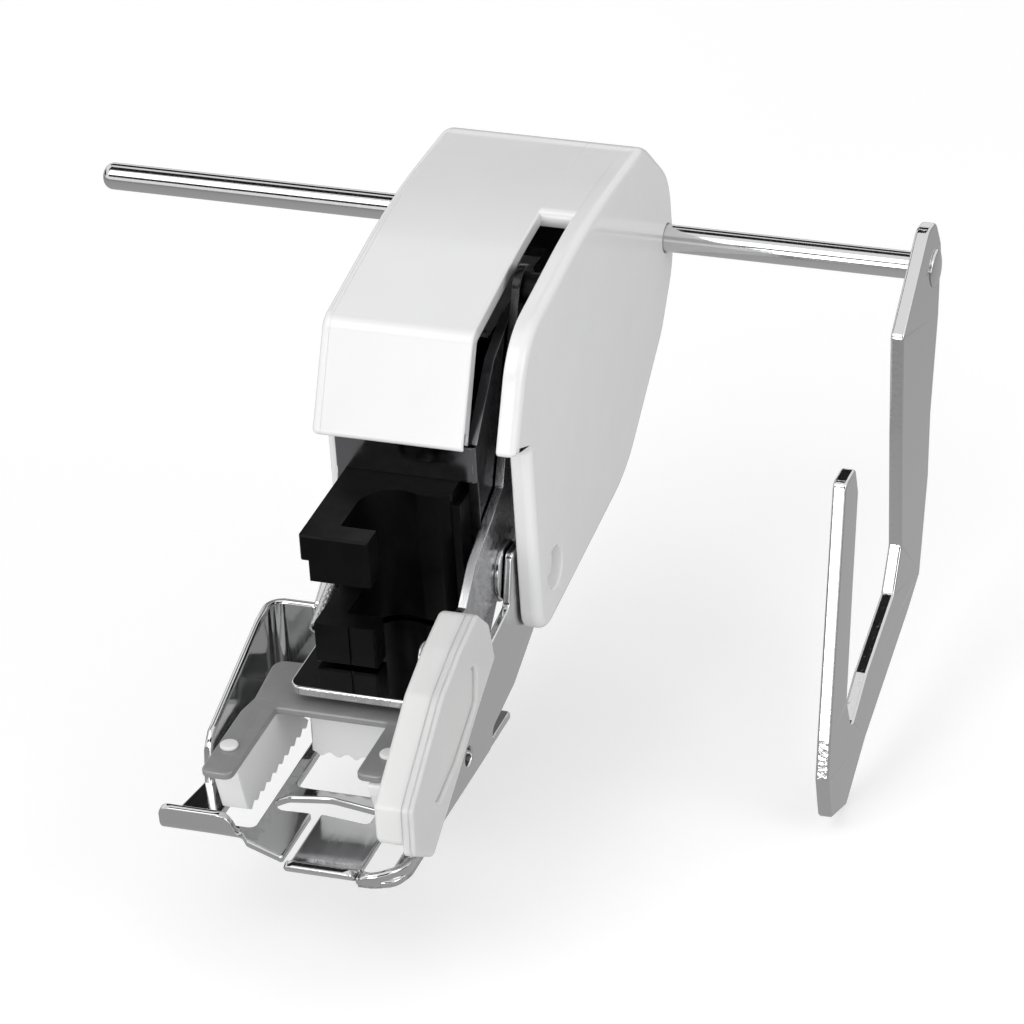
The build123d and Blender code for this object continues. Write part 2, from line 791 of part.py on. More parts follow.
with BuildPart() as feed_carrier:
    carrier_outline = (
        (left_arm_edge, arm_front),
        (left_arm_edge + arm_width, arm_front),
        (left_arm_edge + arm_width, carrier_front),
        (right_arm_left, carrier_front),
        (right_arm_left, -23.0),
        (right_arm_left + right_arm_width, -23.0),
        (right_arm_left + right_arm_width, carrier_rear),
        (ear_right, carrier_rear),
        (ear_right, carrier_tail),
        (ear_left, carrier_tail),
        (ear_left, carrier_rear),
        (carrier_left, carrier_rear),
        (carrier_left, -10.0),
        (left_arm_edge, -11.5),
    )
    add(level_plate(carrier_bottom, carrier_sheet, carrier_outline))
    ear_outline = (
        (14.5, carrier_top - 0.3),
        (19.3, carrier_top - 0.3),
        (19.4, -5.0),
        (18.6, -2.7),
        (15.4, -2.7),
        (14.4, -5.0),
    )
    add(side_plate(ear_left, carriage_ear, ear_outline))
    add(side_plate(ear_right - carriage_ear, carriage_ear, ear_outline))
    ear_hole = carriage_pin_diameter + 2 * pivot_clearance
    add(side_pin(ear_left - 1, ear_right + 1, carriage_pin, ear_hole), mode=Mode.SUBTRACT)
    # post for the hook spring, and holes of the dogs' studs
    with Locations((-9.5, 0.0, carrier_top)):
        Cylinder(spring_post_diameter / 2, 1.6, align=(Align.CENTER, Align.CENTER, Align.MIN))
    right_stud = right_dog_left + right_dog_width / 2
    stud_places = (
        (left_dog_left + 1.0, left_dog_front + 1.25),
        (left_dog_left + 1.5, dog_rear - 3.4),
        (centre_dog_left + 1.9, centre_dog_front + 5.3),
        (centre_dog_left + 7.6, centre_dog_front + 5.3),
        (right_stud, right_dog_front + 2.5),
        (right_stud, dog_rear - 3.4),
    )
    for place in stud_places:
        with Locations((*place, carrier_bottom)):
            Box(
                stud_neck,
                stud_neck,
                carrier_sheet,
                align=(Align.CENTER, Align.CENTER, Align.MIN),
                mode=Mode.SUBTRACT,
            )
feed_carrier.part.label = "feed_carrier"


def stud(place, head_diameter):
    """Moulded stud that holds a dog: square neck through the carrier and round head above it."""
    with BuildPart(mode=Mode.PRIVATE) as shape:
        with Locations((*place, carrier_bottom)):
            Box(stud_neck, stud_neck, carrier_sheet, align=(Align.CENTER, Align.CENTER, Align.MIN))
        with Locations((*place, carrier_top)):
            Cylinder(
                head_diameter / 2,
                stud_head_height,
                align=(Align.CENTER, Align.CENTER, Align.MIN),
            )
    return shape.part


def long_dog(left, width, front_y, rear_y):
    """Toothed dog along Y: straight top under the carrier and a row of teeth below."""
    corners = [(front_y, dog_bottom + 0.9)]
    y = front_y + 0.5
    while y < rear_y - tooth_pitch:
        corners.append((y, dog_bottom))
        corners.append((y + tooth_pitch / 2, dog_bottom + tooth_depth))
        y += tooth_pitch
    corners.append((rear_y - 0.4, dog_bottom + 0.3))
    corners.append((rear_y + 0.6, carrier_bottom))
    corners.append((front_y - 2.0, carrier_bottom))
    corners.append((front_y - 1.7, carrier_bottom - 1.5))
    return side_plate(left, width, corners)


with BuildPart() as feed_dog_left:
    add(long_dog(left_dog_left, left_dog_width, left_dog_front, dog_rear))
    add(stud(stud_places[0], stud_diameter))
    add(stud(stud_places[1], stud_diameter))
feed_dog_left.part.label = "feed_dog_left"


with BuildPart() as feed_dog_centre:
    corners = [(centre_dog_left, carrier_bottom), (centre_dog_left, dog_bottom + tooth_depth)]
    x = centre_dog_left + tooth_pitch / 2
    while x < centre_dog_left + centre_dog_width - tooth_pitch / 2:
        corners.append((x, dog_bottom))
        corners.append((x + tooth_pitch / 2, dog_bottom + tooth_depth))
        x += tooth_pitch
    corners.append((centre_dog_left + centre_dog_width, dog_bottom + tooth_depth))
    corners.append((centre_dog_left + centre_dog_width, carrier_bottom))
    with BuildSketch(Plane.XZ.offset(-centre_dog_front)):
        with BuildLine():
            Polyline(*corners, close=True)
        make_face()
    extrude(amount=-(carrier_rear - centre_dog_front - 0.4))
    add(stud(stud_places[2], stud_diameter - 0.4))
    add(stud(stud_places[3], stud_diameter - 0.4))
feed_dog_centre.part.label = "feed_dog_centre"


with BuildPart() as feed_dog_right:
    add(long_dog(right_dog_left, right_dog_width, right_dog_front, dog_rear))
    add(stud(stud_places[4], stud_diameter - 0.4))
    add(stud(stud_places[5], stud_diameter - 0.4))
feed_dog_right.part.label = "feed_dog_right"


def spring_sleeve(start, end, radius, wire):
    """Coil spring between two points, as the sleeve that its turns fill."""
    run = Vector(*end) - Vector(*start)
    with BuildSketch(Plane(origin=start, z_dir=run)) as ring:
        Circle(radius + wire / 2)
        Circle(radius - wire / 2, mode=Mode.SUBTRACT)
    return extrude(ring.sketch, amount=run.length, mode=Mode.PRIVATE)


with BuildPart() as feed_spring:
    coil_start = (-0.65, block_back, feed_spring_z)
    coil_end = (-0.65, yoke_web_y, feed_spring_z)
    add(spring_sleeve(coil_start, coil_end, feed_spring_radius, feed_spring_wire))
feed_spring.part.label = "feed_spring"


with BuildPart() as hook_spring:
    add(spring_sleeve((-9.5, 0.8, -8.5), (-9.5, 7.8, -6.1), hook_spring_radius, hook_spring_wire))
hook_spring.part.label = "hook_spring"


with BuildPart() as rod_spring:
    rod_top = rod_axis[1] + rod_diameter / 2 + rod_clearance + leaf_sheet / 2
    with BuildSketch(side_plane(leaf_centre_x - leaf_width / 2)):
        with BuildLine() as leaf_path:
            FilletPolyline(
                (top_web_front + 1.0, cheek_top + leaf_sheet / 2),
                (47.0, cheek_top + leaf_sheet / 2),
                (53.4, rod_top),
                (55.4, rod_top),
                radius=1.2,
            )
        trace(leaf_path.line, leaf_sheet)
    extrude(amount=leaf_width)
    with Locations((leaf_centre_x, leaf_screw_y, cheek_top)):
        Cylinder(
            leaf_screw_diameter / 2,
            leaf_sheet,
            align=(Align.CENTER, Align.CENTER, Align.MIN),
            mode=Mode.SUBTRACT,
        )
rod_spring.part.label = "rod_spring"


with BuildPart() as rod_spring_screw:
    with Locations((leaf_centre_x, leaf_screw_y, cheek_top - frame_sheet)):
        Cylinder(
            leaf_screw_diameter / 2,
            frame_sheet + leaf_sheet,
            align=(Align.CENTER, Align.CENTER, Align.MIN),
        )
    with Locations((leaf_centre_x, leaf_screw_y, cheek_top + leaf_sheet)):
        Cylinder(
            leaf_screw_head / 2,
            leaf_screw_head_height,
            align=(Align.CENTER, Align.CENTER, Align.MIN),
        )
rod_spring_screw.part.label = "rod_spring_screw"


with BuildPart() as guide_rod:
    add(side_pin(rod_left_end, rod_right_end, rod_axis, rod_diameter))
    left_rim = guide_rod.edges().filter_by(GeomType.CIRCLE).sort_by(Axis.X)[0]
    chamfer(left_rim, rod_end_chamfer)
    # spigot through the blade, with its riveted head
    blade_outer = rod_right_end + blade_thickness
    add(side_pin(rod_right_end, blade_outer, rod_axis, rivet_diameter))
    add(side_pin(blade_outer, blade_outer + rivet_head_height, rod_axis, rivet_head_diameter))
guide_rod.part.label = "guide_rod"


with BuildPart() as guide_blade:
    blade_outline = (
        (53.8, 16.9),
        (57.9, 12.4),
        (55.6, 5.3),
        (51.8, -4.5),
        (50.5, -11.4),
        (46.2, -21.2),
        (41.5, -23.2),
        (24.7, -28.9),
        (17.4, -32.6),
        (12.0, -30.9),
        (11.5, -26.0),
        (12.7, -21.8),
        (17.0, -8.8),
        (21.3, 4.2),
        (24.8, 4.2),
        (25.4, 0.9),
        (22.3, -9.0),
        (18.9, -20.6),
        (20.2, -24.9),
        (26.2, -21.7),
        (36.7, -18.2),
        (39.9, -14.2),
        (41.4, -1.2),
        (43.0, 9.6),
        (45.4, 11.3),
    )
    add(side_plate(rod_right_end, blade_thickness, blade_outline, 0.75))
    add(
        side_pin(rod_right_end, blade_outer, rod_axis, rivet_diameter + 2 * rod_clearance),
        mode=Mode.SUBTRACT,
    )
guide_blade.part.label = "guide_blade"


parts = [
    shank_block,
    frame_bracket,
    base_plate,
    cover,
    sole_bracket,
    sole_pins,
    fork_pivot_pin,
    fork_lever,
    pivot_bush,
    lever_roller,
    nylon_fork,
    cross_shafts,
    feed_yoke,
    carriage_pin_shaft,
    feed_carrier,
    feed_dog_left,
    feed_dog_centre,
    feed_dog_right,
    feed_spring,
    hook_spring,
    rod_spring,
    rod_spring_screw,
    guide_rod,
    guide_blade,
]
for item in parts:
    export_step(item.part, f"parts/{item.part.label}.step")
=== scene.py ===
# %% [markdown]
# # A walking foot for a sewing machine, with its quilting guide
# The foot clamps to the presser bar. A white moulded cover hides the folded steel frame, a fork
# rides on the needle clamp screw and works the toothed feed dogs, and a chrome sole presses the
# cloth. A bent steel guide slides in at the back on a rod.
#
# The sizes come from the solid model, so the first cell loads that model as a fixed frame.

from math import cos, pi, radians, sin

import bmesh
import bpy
import numpy as np
from mathutils import Matrix, Vector
from mathutils.geometry import tessellate_polygon


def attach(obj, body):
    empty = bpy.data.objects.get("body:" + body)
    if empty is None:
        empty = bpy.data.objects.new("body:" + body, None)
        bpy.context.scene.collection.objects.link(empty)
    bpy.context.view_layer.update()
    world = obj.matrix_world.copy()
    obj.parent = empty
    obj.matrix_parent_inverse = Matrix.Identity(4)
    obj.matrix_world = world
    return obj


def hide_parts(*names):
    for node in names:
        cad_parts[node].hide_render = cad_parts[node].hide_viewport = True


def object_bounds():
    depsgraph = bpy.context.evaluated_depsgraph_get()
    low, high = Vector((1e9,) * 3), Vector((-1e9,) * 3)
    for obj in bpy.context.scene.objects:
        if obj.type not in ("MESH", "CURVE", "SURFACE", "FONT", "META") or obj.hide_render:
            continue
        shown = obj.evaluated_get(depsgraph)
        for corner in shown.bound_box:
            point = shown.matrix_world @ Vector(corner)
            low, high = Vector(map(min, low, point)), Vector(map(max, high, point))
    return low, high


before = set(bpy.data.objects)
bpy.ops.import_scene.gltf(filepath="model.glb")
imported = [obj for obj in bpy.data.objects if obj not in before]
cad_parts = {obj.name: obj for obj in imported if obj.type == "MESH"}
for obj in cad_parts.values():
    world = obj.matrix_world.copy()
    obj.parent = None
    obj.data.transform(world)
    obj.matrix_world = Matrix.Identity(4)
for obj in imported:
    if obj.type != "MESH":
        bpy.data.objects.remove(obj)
solid_low, solid_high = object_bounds()
MM = 0.001
print("solid box, mm:", np.round(np.array([solid_low, solid_high]) / MM, 2).tolist())

# %% [markdown]
# ## Finishes
# A finish is a small tree of shader nodes, put together from a few helpers: one makes the
# shader with its fixed values, one makes a noise pattern, and the others let the pattern change
# the roughness, the relief or the colour. The pattern reads Object coordinates, which are metres
# in the foot's own frame, so a grain size can be given as on the real surface.

# %% Helpers for the finishes
def new_finish(name, colour, metallic, roughness):
    """Material with one Principled shader; returns its tree and the shader."""
    material = bpy.data.materials.new(name)
    material.use_nodes = True
    tree = material.node_tree
    shader = tree.nodes["Principled BSDF"]
    shader.inputs["Base Color"].default_value = (*colour, 1.0)
    shader.inputs["Metallic"].default_value = metallic
    shader.inputs["Roughness"].default_value = roughness
    return material, tree, shader


def noise(tree, grain_mm, stretch=(1, 1, 1), detail=3.0):
    """Noise with cells about this many millimetres wide, stretched along each axis."""
    place = tree.nodes.new("ShaderNodeTexCoord")
    mapping = tree.nodes.new("ShaderNodeMapping")
    mapping.inputs["Scale"].default_value = tuple(1.0 / s for s in stretch)
    texture = tree.nodes.new("ShaderNodeTexNoise")
    texture.inputs["Scale"].default_value = 1.0 / (grain_mm * MM)
    texture.inputs["Detail"].default_value = detail
    tree.links.new(place.outputs["Object"], mapping.inputs["Vector"])
    tree.links.new(mapping.outputs["Vector"], texture.inputs["Vector"])
    return texture.outputs["Fac"]


def spread(tree, value, low, high, start=0.35, end=0.65):
    """A value's range from start to end, mapped to run from low to high.

    Most of a noise lies between the start and end that are used where none are given.
    """
    remap = tree.nodes.new("ShaderNodeMapRange")
    numbers = {"From Min": start, "From Max": end, "To Min": low, "To Max": high}
    for socket, number in numbers.items():
        remap.inputs[socket].default_value = number
    tree.links.new(value, remap.inputs["Value"])
    return remap.outputs["Result"]


def relief(tree, shader, value, depth_mm, under=None):
    """Bump of this depth from a 0 to 1 pattern, over another bump where one is given."""
    bump = tree.nodes.new("ShaderNodeBump")
    bump.inputs["Distance"].default_value = depth_mm * MM
    bump.inputs["Strength"].default_value = 1.0
    tree.links.new(value, bump.inputs["Height"])
    if under is not None:
        tree.links.new(under, bump.inputs["Normal"])
    tree.links.new(bump.outputs["Normal"], shader.inputs["Normal"])
    return bump.outputs["Normal"]


def blend_colours(tree, shader, value, first, second):
    """Base colour that runs from the first colour at 0 to the second at 1."""
    mix = tree.nodes.new("ShaderNodeMix")
    mix.data_type = "RGBA"
    mix.inputs["A"].default_value = (*first, 1.0)
    mix.inputs["B"].default_value = (*second, 1.0)
    tree.links.new(value, mix.inputs["Factor"])
    tree.links.new(mix.outputs["Result"], shader.inputs["Base Color"])


# %% [markdown]
# The cover is glossy white moulding. Such plastic is never quite even: the gloss changes in
# patches a few millimetres wide, where the melt cooled, and the skin has a very shallow ripple.
# Both are there, at a level that only shows in the highlights.

# %% White moulding
white_moulding, tree, shader = new_finish("white_moulding", (0.86, 0.86, 0.862), 0.0, 0.2)
patches = noise(tree, 6.0)
tree.links.new(spread(tree, patches, 0.16, 0.26), shader.inputs["Roughness"])
tints = spread(tree, noise(tree, 14.0), 0.0, 1.0)
blend_colours(tree, shader, tints, (0.855, 0.855, 0.858), (0.868, 0.868, 0.868))
relief(tree, shader, noise(tree, 2.2), 0.004)
shader.inputs["Coat Weight"].default_value = 0.35
shader.inputs["Coat Roughness"].default_value = 0.08

# %% [markdown]
# The clamp block is black moulding with a satin grain. A second, coarser noise dulls it in
# places, as fingers and the screw do.

# %% Black moulding
black_moulding, tree, shader = new_finish("black_moulding", (0.002, 0.002, 0.0022), 0.0, 0.36)
tree.links.new(spread(tree, noise(tree, 3.0), 0.3, 0.5), shader.inputs["Roughness"])
blend_colours(tree, shader, noise(tree, 0.5), (0.0012, 0.0012, 0.0014), (0.003, 0.003, 0.0033))
grain = relief(tree, shader, noise(tree, 0.12, detail=2.0), 0.006)
relief(tree, shader, noise(tree, 1.6), 0.01, grain)
shader.inputs["Specular IOR Level"].default_value = 0.1

# %% [markdown]
# Bright plating is nickel and chrome over polished steel: nearly a mirror. What tells it from
# a perfect mirror is a slow waviness left by the polishing wheel, and a haze of fine scratches.

# %% Bright plating
bright_plating, tree, shader = new_finish("bright_plating", (0.67, 0.67, 0.675), 1.0, 0.07)
haze = noise(tree, 0.25, (1, 14, 14), 4.0)
tree.links.new(spread(tree, haze, 0.05, 0.12), shader.inputs["Roughness"])
scratches = relief(tree, shader, haze, 0.0006)
relief(tree, shader, noise(tree, 5.0, detail=1.0), 0.012, scratches)

# %% [markdown]
# The blade and the base plate are punched: their faces are polished, but the sheared edge stays
# rough. The face normal tells the two apart, so one finish does both: rough bumps only where
# the surface doesn't face along the sheet's own axis.

# %% Punched plating
def punched(name, axis):
    """Bright plating with torn edges on every surface that doesn't face along this axis."""
    material, tree, shader = new_finish(name, (0.67, 0.67, 0.675), 1.0, 0.08)
    fine = relief(tree, shader, noise(tree, 0.25, (1, 6, 6), 3.0), 0.0008)
    place = tree.nodes.new("ShaderNodeTexCoord")
    split = tree.nodes.new("ShaderNodeSeparateXYZ")
    size = tree.nodes.new("ShaderNodeMath")
    size.operation = "ABSOLUTE"
    tree.links.new(place.outputs["Normal"], split.inputs[0])
    tree.links.new(split.outputs[axis], size.inputs[0])
    edge = spread(tree, size.outputs[0], 1.0, 0.0, 0.25, 0.75)
    torn = relief(tree, shader, noise(tree, 0.5, detail=4.0), 0.03, fine)
    tree.links.new(edge, torn.node.inputs["Strength"])
    return material


punched_blade = punched("punched_blade", "X")
punched_plate = punched("punched_plate", "Z")

# %% [markdown]
# The frame behind the block has the same plating in a darker shade. The lever is bare ground
# steel with the grinding marks along it; its upper half, in the slot, is painted nearly black
# as the slot's shade. The feed carrier is dull grey sheet.

# %% Dark plating, lever steel and grey sheet
dark_plating, tree, shader = new_finish("dark_plating", (0.2, 0.2, 0.21), 1.0, 0.14)
tree.links.new(spread(tree, noise(tree, 1.2), 0.1, 0.2), shader.inputs["Roughness"])
blend_colours(tree, shader, noise(tree, 7.0), (0.16, 0.16, 0.17), (0.26, 0.26, 0.27))
relief(tree, shader, noise(tree, 4.0, detail=1.0), 0.012)

lever_steel, tree, shader = new_finish("lever_steel", (0.42, 0.42, 0.43), 1.0, 0.24)
lines = noise(tree, 0.12, (1, 10, 10))
tree.links.new(spread(tree, lines, 0.18, 0.34), shader.inputs["Roughness"])
place = tree.nodes.new("ShaderNodeTexCoord")
split = tree.nodes.new("ShaderNodeSeparateXYZ")
tree.links.new(place.outputs["Object"], split.inputs[0])
# Painted shade: from 2 to 9 mm up, the steel's colour runs to nearly black for the dark slot.
painted_slot_shade = spread(tree, split.outputs["Z"], 0.0, 1.0, 2.0 * MM, 9.0 * MM)
blend_colours(tree, shader, painted_slot_shade, (0.42, 0.42, 0.43), (0.03, 0.03, 0.031))
relief(tree, shader, lines, 0.0012)

grey_sheet, tree, shader = new_finish("grey_sheet", (0.3, 0.3, 0.305), 0.35, 0.42)
lines = noise(tree, 0.4, (1, 3, 1), 2.0)
tree.links.new(spread(tree, lines, 0.36, 0.5), shader.inputs["Roughness"])
blend_colours(tree, shader, noise(tree, 2.5), (0.27, 0.27, 0.275), (0.34, 0.34, 0.345))
relief(tree, shader, lines, 0.0008)

# %% [markdown]
# The fork is natural nylon, milky because light goes in and is scattered. Subsurface
# scattering gives that: its radius is how far light travels inside, about a millimetre. The
# feed dogs are a whiter rubbery plastic with less depth.

# %% Nylon and feed dog plastic
nylon, tree, shader = new_finish("nylon", (0.74, 0.745, 0.735), 0.0, 0.34)
tree.links.new(spread(tree, noise(tree, 2.0), 0.28, 0.42), shader.inputs["Roughness"])
shader.inputs["Subsurface Weight"].default_value = 0.55
shader.inputs["Subsurface Radius"].default_value = (1.0, 1.0, 0.95)
shader.inputs["Subsurface Scale"].default_value = 1.4 * MM
relief(tree, shader, noise(tree, 0.9), 0.006)

dog_plastic, tree, shader = new_finish("dog_plastic", (0.79, 0.795, 0.79), 0.0, 0.45)
tree.links.new(spread(tree, noise(tree, 1.4), 0.38, 0.55), shader.inputs["Roughness"])
shader.inputs["Subsurface Weight"].default_value = 0.35
shader.inputs["Subsurface Radius"].default_value = (1.0, 1.0, 0.96)
shader.inputs["Subsurface Scale"].default_value = 0.9 * MM
relief(tree, shader, noise(tree, 0.5), 0.008)

# %% [markdown]
# Turned pins and springs are plain bright steel, with lathe marks round them. On the spring
# wire a wave pattern gives the turns: its bands lie 2 pi / (20 * 400) metres apart, 0.8 mm.

# %% Turned steel and spring wire
turned_steel, tree, shader = new_finish("turned_steel", (0.62, 0.62, 0.63), 1.0, 0.22)
rings = noise(tree, 0.1, (1, 8, 8))
tree.links.new(spread(tree, rings, 0.16, 0.32), shader.inputs["Roughness"])
relief(tree, shader, rings, 0.001)

spring_wire, tree, shader = new_finish("spring_wire", (0.55, 0.55, 0.56), 1.0, 0.25)
turns = tree.nodes.new("ShaderNodeTexWave")
turns.bands_direction = "Y"
turns.inputs["Scale"].default_value = 400.0
place = tree.nodes.new("ShaderNodeTexCoord")
tree.links.new(place.outputs["Object"], turns.inputs["Vector"])
relief(tree, shader, turns.outputs["Fac"], 0.04)
tree.links.new(spread(tree, noise(tree, 0.4), 0.2, 0.35), shader.inputs["Roughness"])
print("finishes:", len(bpy.data.materials))

# %% [markdown]
# ## Making surfaces
# Most of this foot is sheet metal or moulding with a flat outline, so one helper makes an
# outline with round corners and another gives it thickness with rounded rims. Both work on
# whole arrays of points.

# %% Outline with round corners
def round_corners(corners, radius, steps=7):
    """Closed outline whose corners are arcs.

    Between a corner's two edges, with half their angle h, the arc of radius r starts r / tan(h)
    along each edge, and its centre is r / sin(h) along their bisector. The points run round
    that centre by equal angles. An arc takes up less than half of its shorter edge.
    """
    largest_share = 0.46
    corner = np.array(corners, dtype=float)
    before = np.roll(corner, 1, axis=0) - corner
    after = np.roll(corner, -1, axis=0) - corner
    length_before = np.linalg.norm(before, axis=1)
    length_after = np.linalg.norm(after, axis=1)
    to_before = before / length_before[:, None]
    to_after = after / length_after[:, None]
    half = 0.5 * np.arccos(np.clip(np.sum(to_before * to_after, axis=1), -1, 1))
    reach = np.broadcast_to(np.asarray(radius, dtype=float), half.shape) / np.tan(half)
    reach = np.minimum(reach, largest_share * np.minimum(length_before, length_after))
    radius_used = reach * np.tan(half)
    bisector = to_before + to_after
    bisector /= np.linalg.norm(bisector, axis=1)[:, None]
    centre = corner + bisector * (radius_used / np.sin(half))[:, None]
    first = corner + to_before * reach[:, None] - centre
    last = corner + to_after * reach[:, None] - centre
    start = np.arctan2(first[:, 1], first[:, 0])
    turn = (np.arctan2(last[:, 1], last[:, 0]) - start + pi) % (2 * pi) - pi
    angle = start[:, None] + turn[:, None] * np.linspace(0, 1, steps)
    ring = np.stack([np.cos(angle), np.sin(angle)], axis=-1) * radius_used[:, None, None]
    return (centre[:, None, :] + ring).reshape(-1, 2)


def circle(centre, radius, steps=40):
    """Closed circle: equal angles round the centre."""
    angle = np.linspace(0, 2 * pi, steps, endpoint=False)
    return np.array(centre) + radius * np.stack([np.cos(angle), np.sin(angle)], axis=-1)


def drawn_in(outline, distance):
    """The outline moved into its area, each point along the mean of its two edges' normals.

    A point moves by the distance over the cosine of half its turn, and that cosine is kept above
    a limit, so that a sharp corner doesn't run far.
    """
    least_cosine = 0.4
    edge = np.roll(outline, -1, axis=0) - outline
    edge /= np.maximum(np.linalg.norm(edge, axis=1), 1e-9)[:, None]
    normal = np.stack([-edge[:, 1], edge[:, 0]], axis=-1)
    mean = normal + np.roll(normal, 1, axis=0)
    mean /= np.maximum(np.sum(mean * normal, axis=1), least_cosine)[:, None]
    return outline + mean * distance


def anticlockwise(outline):
    """The outline in the sense that has its area on the left."""
    step = np.roll(outline, -1, axis=0)
    area = np.sum(outline[:, 0] * step[:, 1] - step[:, 0] * outline[:, 1])
    return outline if area > 0 else outline[::-1]


# %% Mesh from arrays, and a plate with rounded rims
def add_object(name, data):
    """New object with this data, in the scene."""
    thing = bpy.data.objects.new(name, data)
    bpy.context.scene.collection.objects.link(thing)
    return thing


def even_shading(piece):
    """Normals weighted by face area, so that flat faces look flat right up to their rims."""
    piece.modifiers.new("even_shading", "WEIGHTED_NORMAL").weight = 80


def make_piece(name, points_mm, faces, finish, body, nodes=()):
    """Object from points in millimetres; it rides on a body and may stand for solid nodes."""
    mesh = bpy.data.meshes.new(name)
    mesh.from_pydata((np.asarray(points_mm) * MM).tolist(), [], faces)
    mesh.validate()
    shape = bmesh.new()
    shape.from_mesh(mesh)
    bmesh.ops.remove_doubles(shape, verts=shape.verts, dist=1e-6)
    bmesh.ops.recalc_face_normals(shape, faces=shape.faces)
    shape.to_mesh(mesh)
    shape.free()
    mesh.shade_smooth()
    piece = add_object(name, mesh)
    mesh.materials.append(finish)
    even_shading(piece)
    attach(piece, body)
    if nodes:
        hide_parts(*nodes)
    print(f"{name}: {len(mesh.polygons)} faces")
    return piece


def ring_faces(rings, count):
    """Quads between rings of points, each ring closed on itself.

    Point j of ring i makes a quad with point j + 1 and with the same two points of ring i + 1.
    """
    i, j = np.meshgrid(np.arange(rings - 1), np.arange(count), indexing="ij")
    k = (j + 1) % count
    row, next_row = i * count, (i + 1) * count
    return np.stack([row + j, row + k, next_row + k, next_row + j], axis=-1).reshape(-1, 4)


# For each axis that a plate's thickness runs along: which of the outline's first value, its
# second value and the height gives X, Y and Z, and where the outline's two values are in X, Y, Z.
PLATE_AXES = {"X": ([2, 0, 1], [1, 2]), "Y": ([0, 2, 1], [0, 2]), "Z": ([0, 1, 2], [0, 1])}


def plate(
    name, outline, start, thickness, rim, finish, body,
    nodes=(), holes=(), across="X", steps=4, hole_rim=None,
):
    """Flat plate with rounded rims.

    With a from 0 to 90 degrees, ring a of the wall is the outline drawn in by rim * (1 - sin a)
    at height rim * (1 - cos a). The other face mirrors it. The innermost rings bound the flat
    faces. The height runs along the across axis, and the outline is in the other two, in the
    order X, Y, Z. A pair of rims gives the two faces their own.
    """
    angle = np.linspace(0, pi / 2, steps)
    round_in, round_up = 1 - np.sin(angle), 1 - np.cos(angle)
    axes, flat = PLATE_AXES[across]
    loops = [anticlockwise(np.asarray(outline))]
    loops += [anticlockwise(np.asarray(hole))[::-1] for hole in holes]
    points, faces, lowest, highest, total = [], [], [], [], 0
    for index, loop in enumerate(loops):
        loop_rim = rim if index == 0 or hole_rim is None else hole_rim
        first_rim, last_rim = (loop_rim, loop_rim) if np.isscalar(loop_rim) else loop_rim
        inset = np.concatenate([first_rim * round_in, last_rim * round_in[::-1]])
        height = np.concatenate([first_rim * round_up, thickness - last_rim * round_up[::-1]])
        gap = 0.04
        if thickness - first_rim - last_rim > 3 * gap:
            # Two more rings this near the rims keep the flat wall's shading flat.
            inset = np.insert(inset, steps, [0.0, 0.0])
            height = np.insert(height, steps, [first_rim + gap, thickness - last_rim - gap])
        count = len(loop)
        rings = np.stack([drawn_in(loop, distance) for distance in inset])
        level = np.broadcast_to(start + height[:, None, None], (len(height), count, 1))
        grid = np.concatenate([rings, level], axis=2)[:, :, axes]
        points.append(grid.reshape(-1, 3))
        faces += (ring_faces(len(height), count) + total).tolist()
        lowest.append(np.arange(count) + total)
        highest.append(np.arange(count) + total + (len(height) - 1) * count)
        total += len(height) * count
    points = np.concatenate(points)
    for ring_indices in (lowest, highest):
        rows = np.concatenate(ring_indices)
        polygons = [[Vector((*points[i][flat], 0.0)) for i in ring] for ring in ring_indices]
        faces += [[int(rows[a]) for a in triangle] for triangle in tessellate_polygon(polygons)]
    make_piece(name, points, faces, finish, body, nodes)


def bent_strip(name, line, left, right, thickness, edge, finish, body, columns=14):
    """Sheet bent along a line in side view.

    Row i of the grid is point i of the line (Y, Z), and its X runs evenly from left[i] to
    right[i]. Solidify gives the sheet its thickness and Bevel rounds its edges.
    """
    line = np.asarray(line, dtype=float)
    across = np.linspace(0, 1, columns)[None, :]
    x = np.asarray(left)[:, None] * (1 - across) + np.asarray(right)[:, None] * across
    y = np.broadcast_to(line[:, 0, None], x.shape)
    z = np.broadcast_to(line[:, 1, None], x.shape)
    i, j = np.meshgrid(np.arange(len(line) - 1), np.arange(columns - 1), indexing="ij")
    corner = i * columns + j
    quads = np.stack([corner, corner + 1, corner + columns + 1, corner + columns], axis=-1)
    points = np.stack([x, y, z], axis=-1).reshape(-1, 3)
    piece = make_piece(name, points, quads.reshape(-1, 4).tolist(), finish, body)
    # Even shading has to come after the other two modifiers.
    piece.modifiers.remove(piece.modifiers["even_shading"])
    wall = piece.modifiers.new("wall", "SOLIDIFY")
    wall.thickness = thickness * MM
    wall.offset = 0
    rim = piece.modifiers.new("rim", "BEVEL")
    rim.width = edge * MM
    rim.segments = 3
    rim.limit_method = "ANGLE"
    rim.angle_limit = radians(50)
    even_shading(piece)


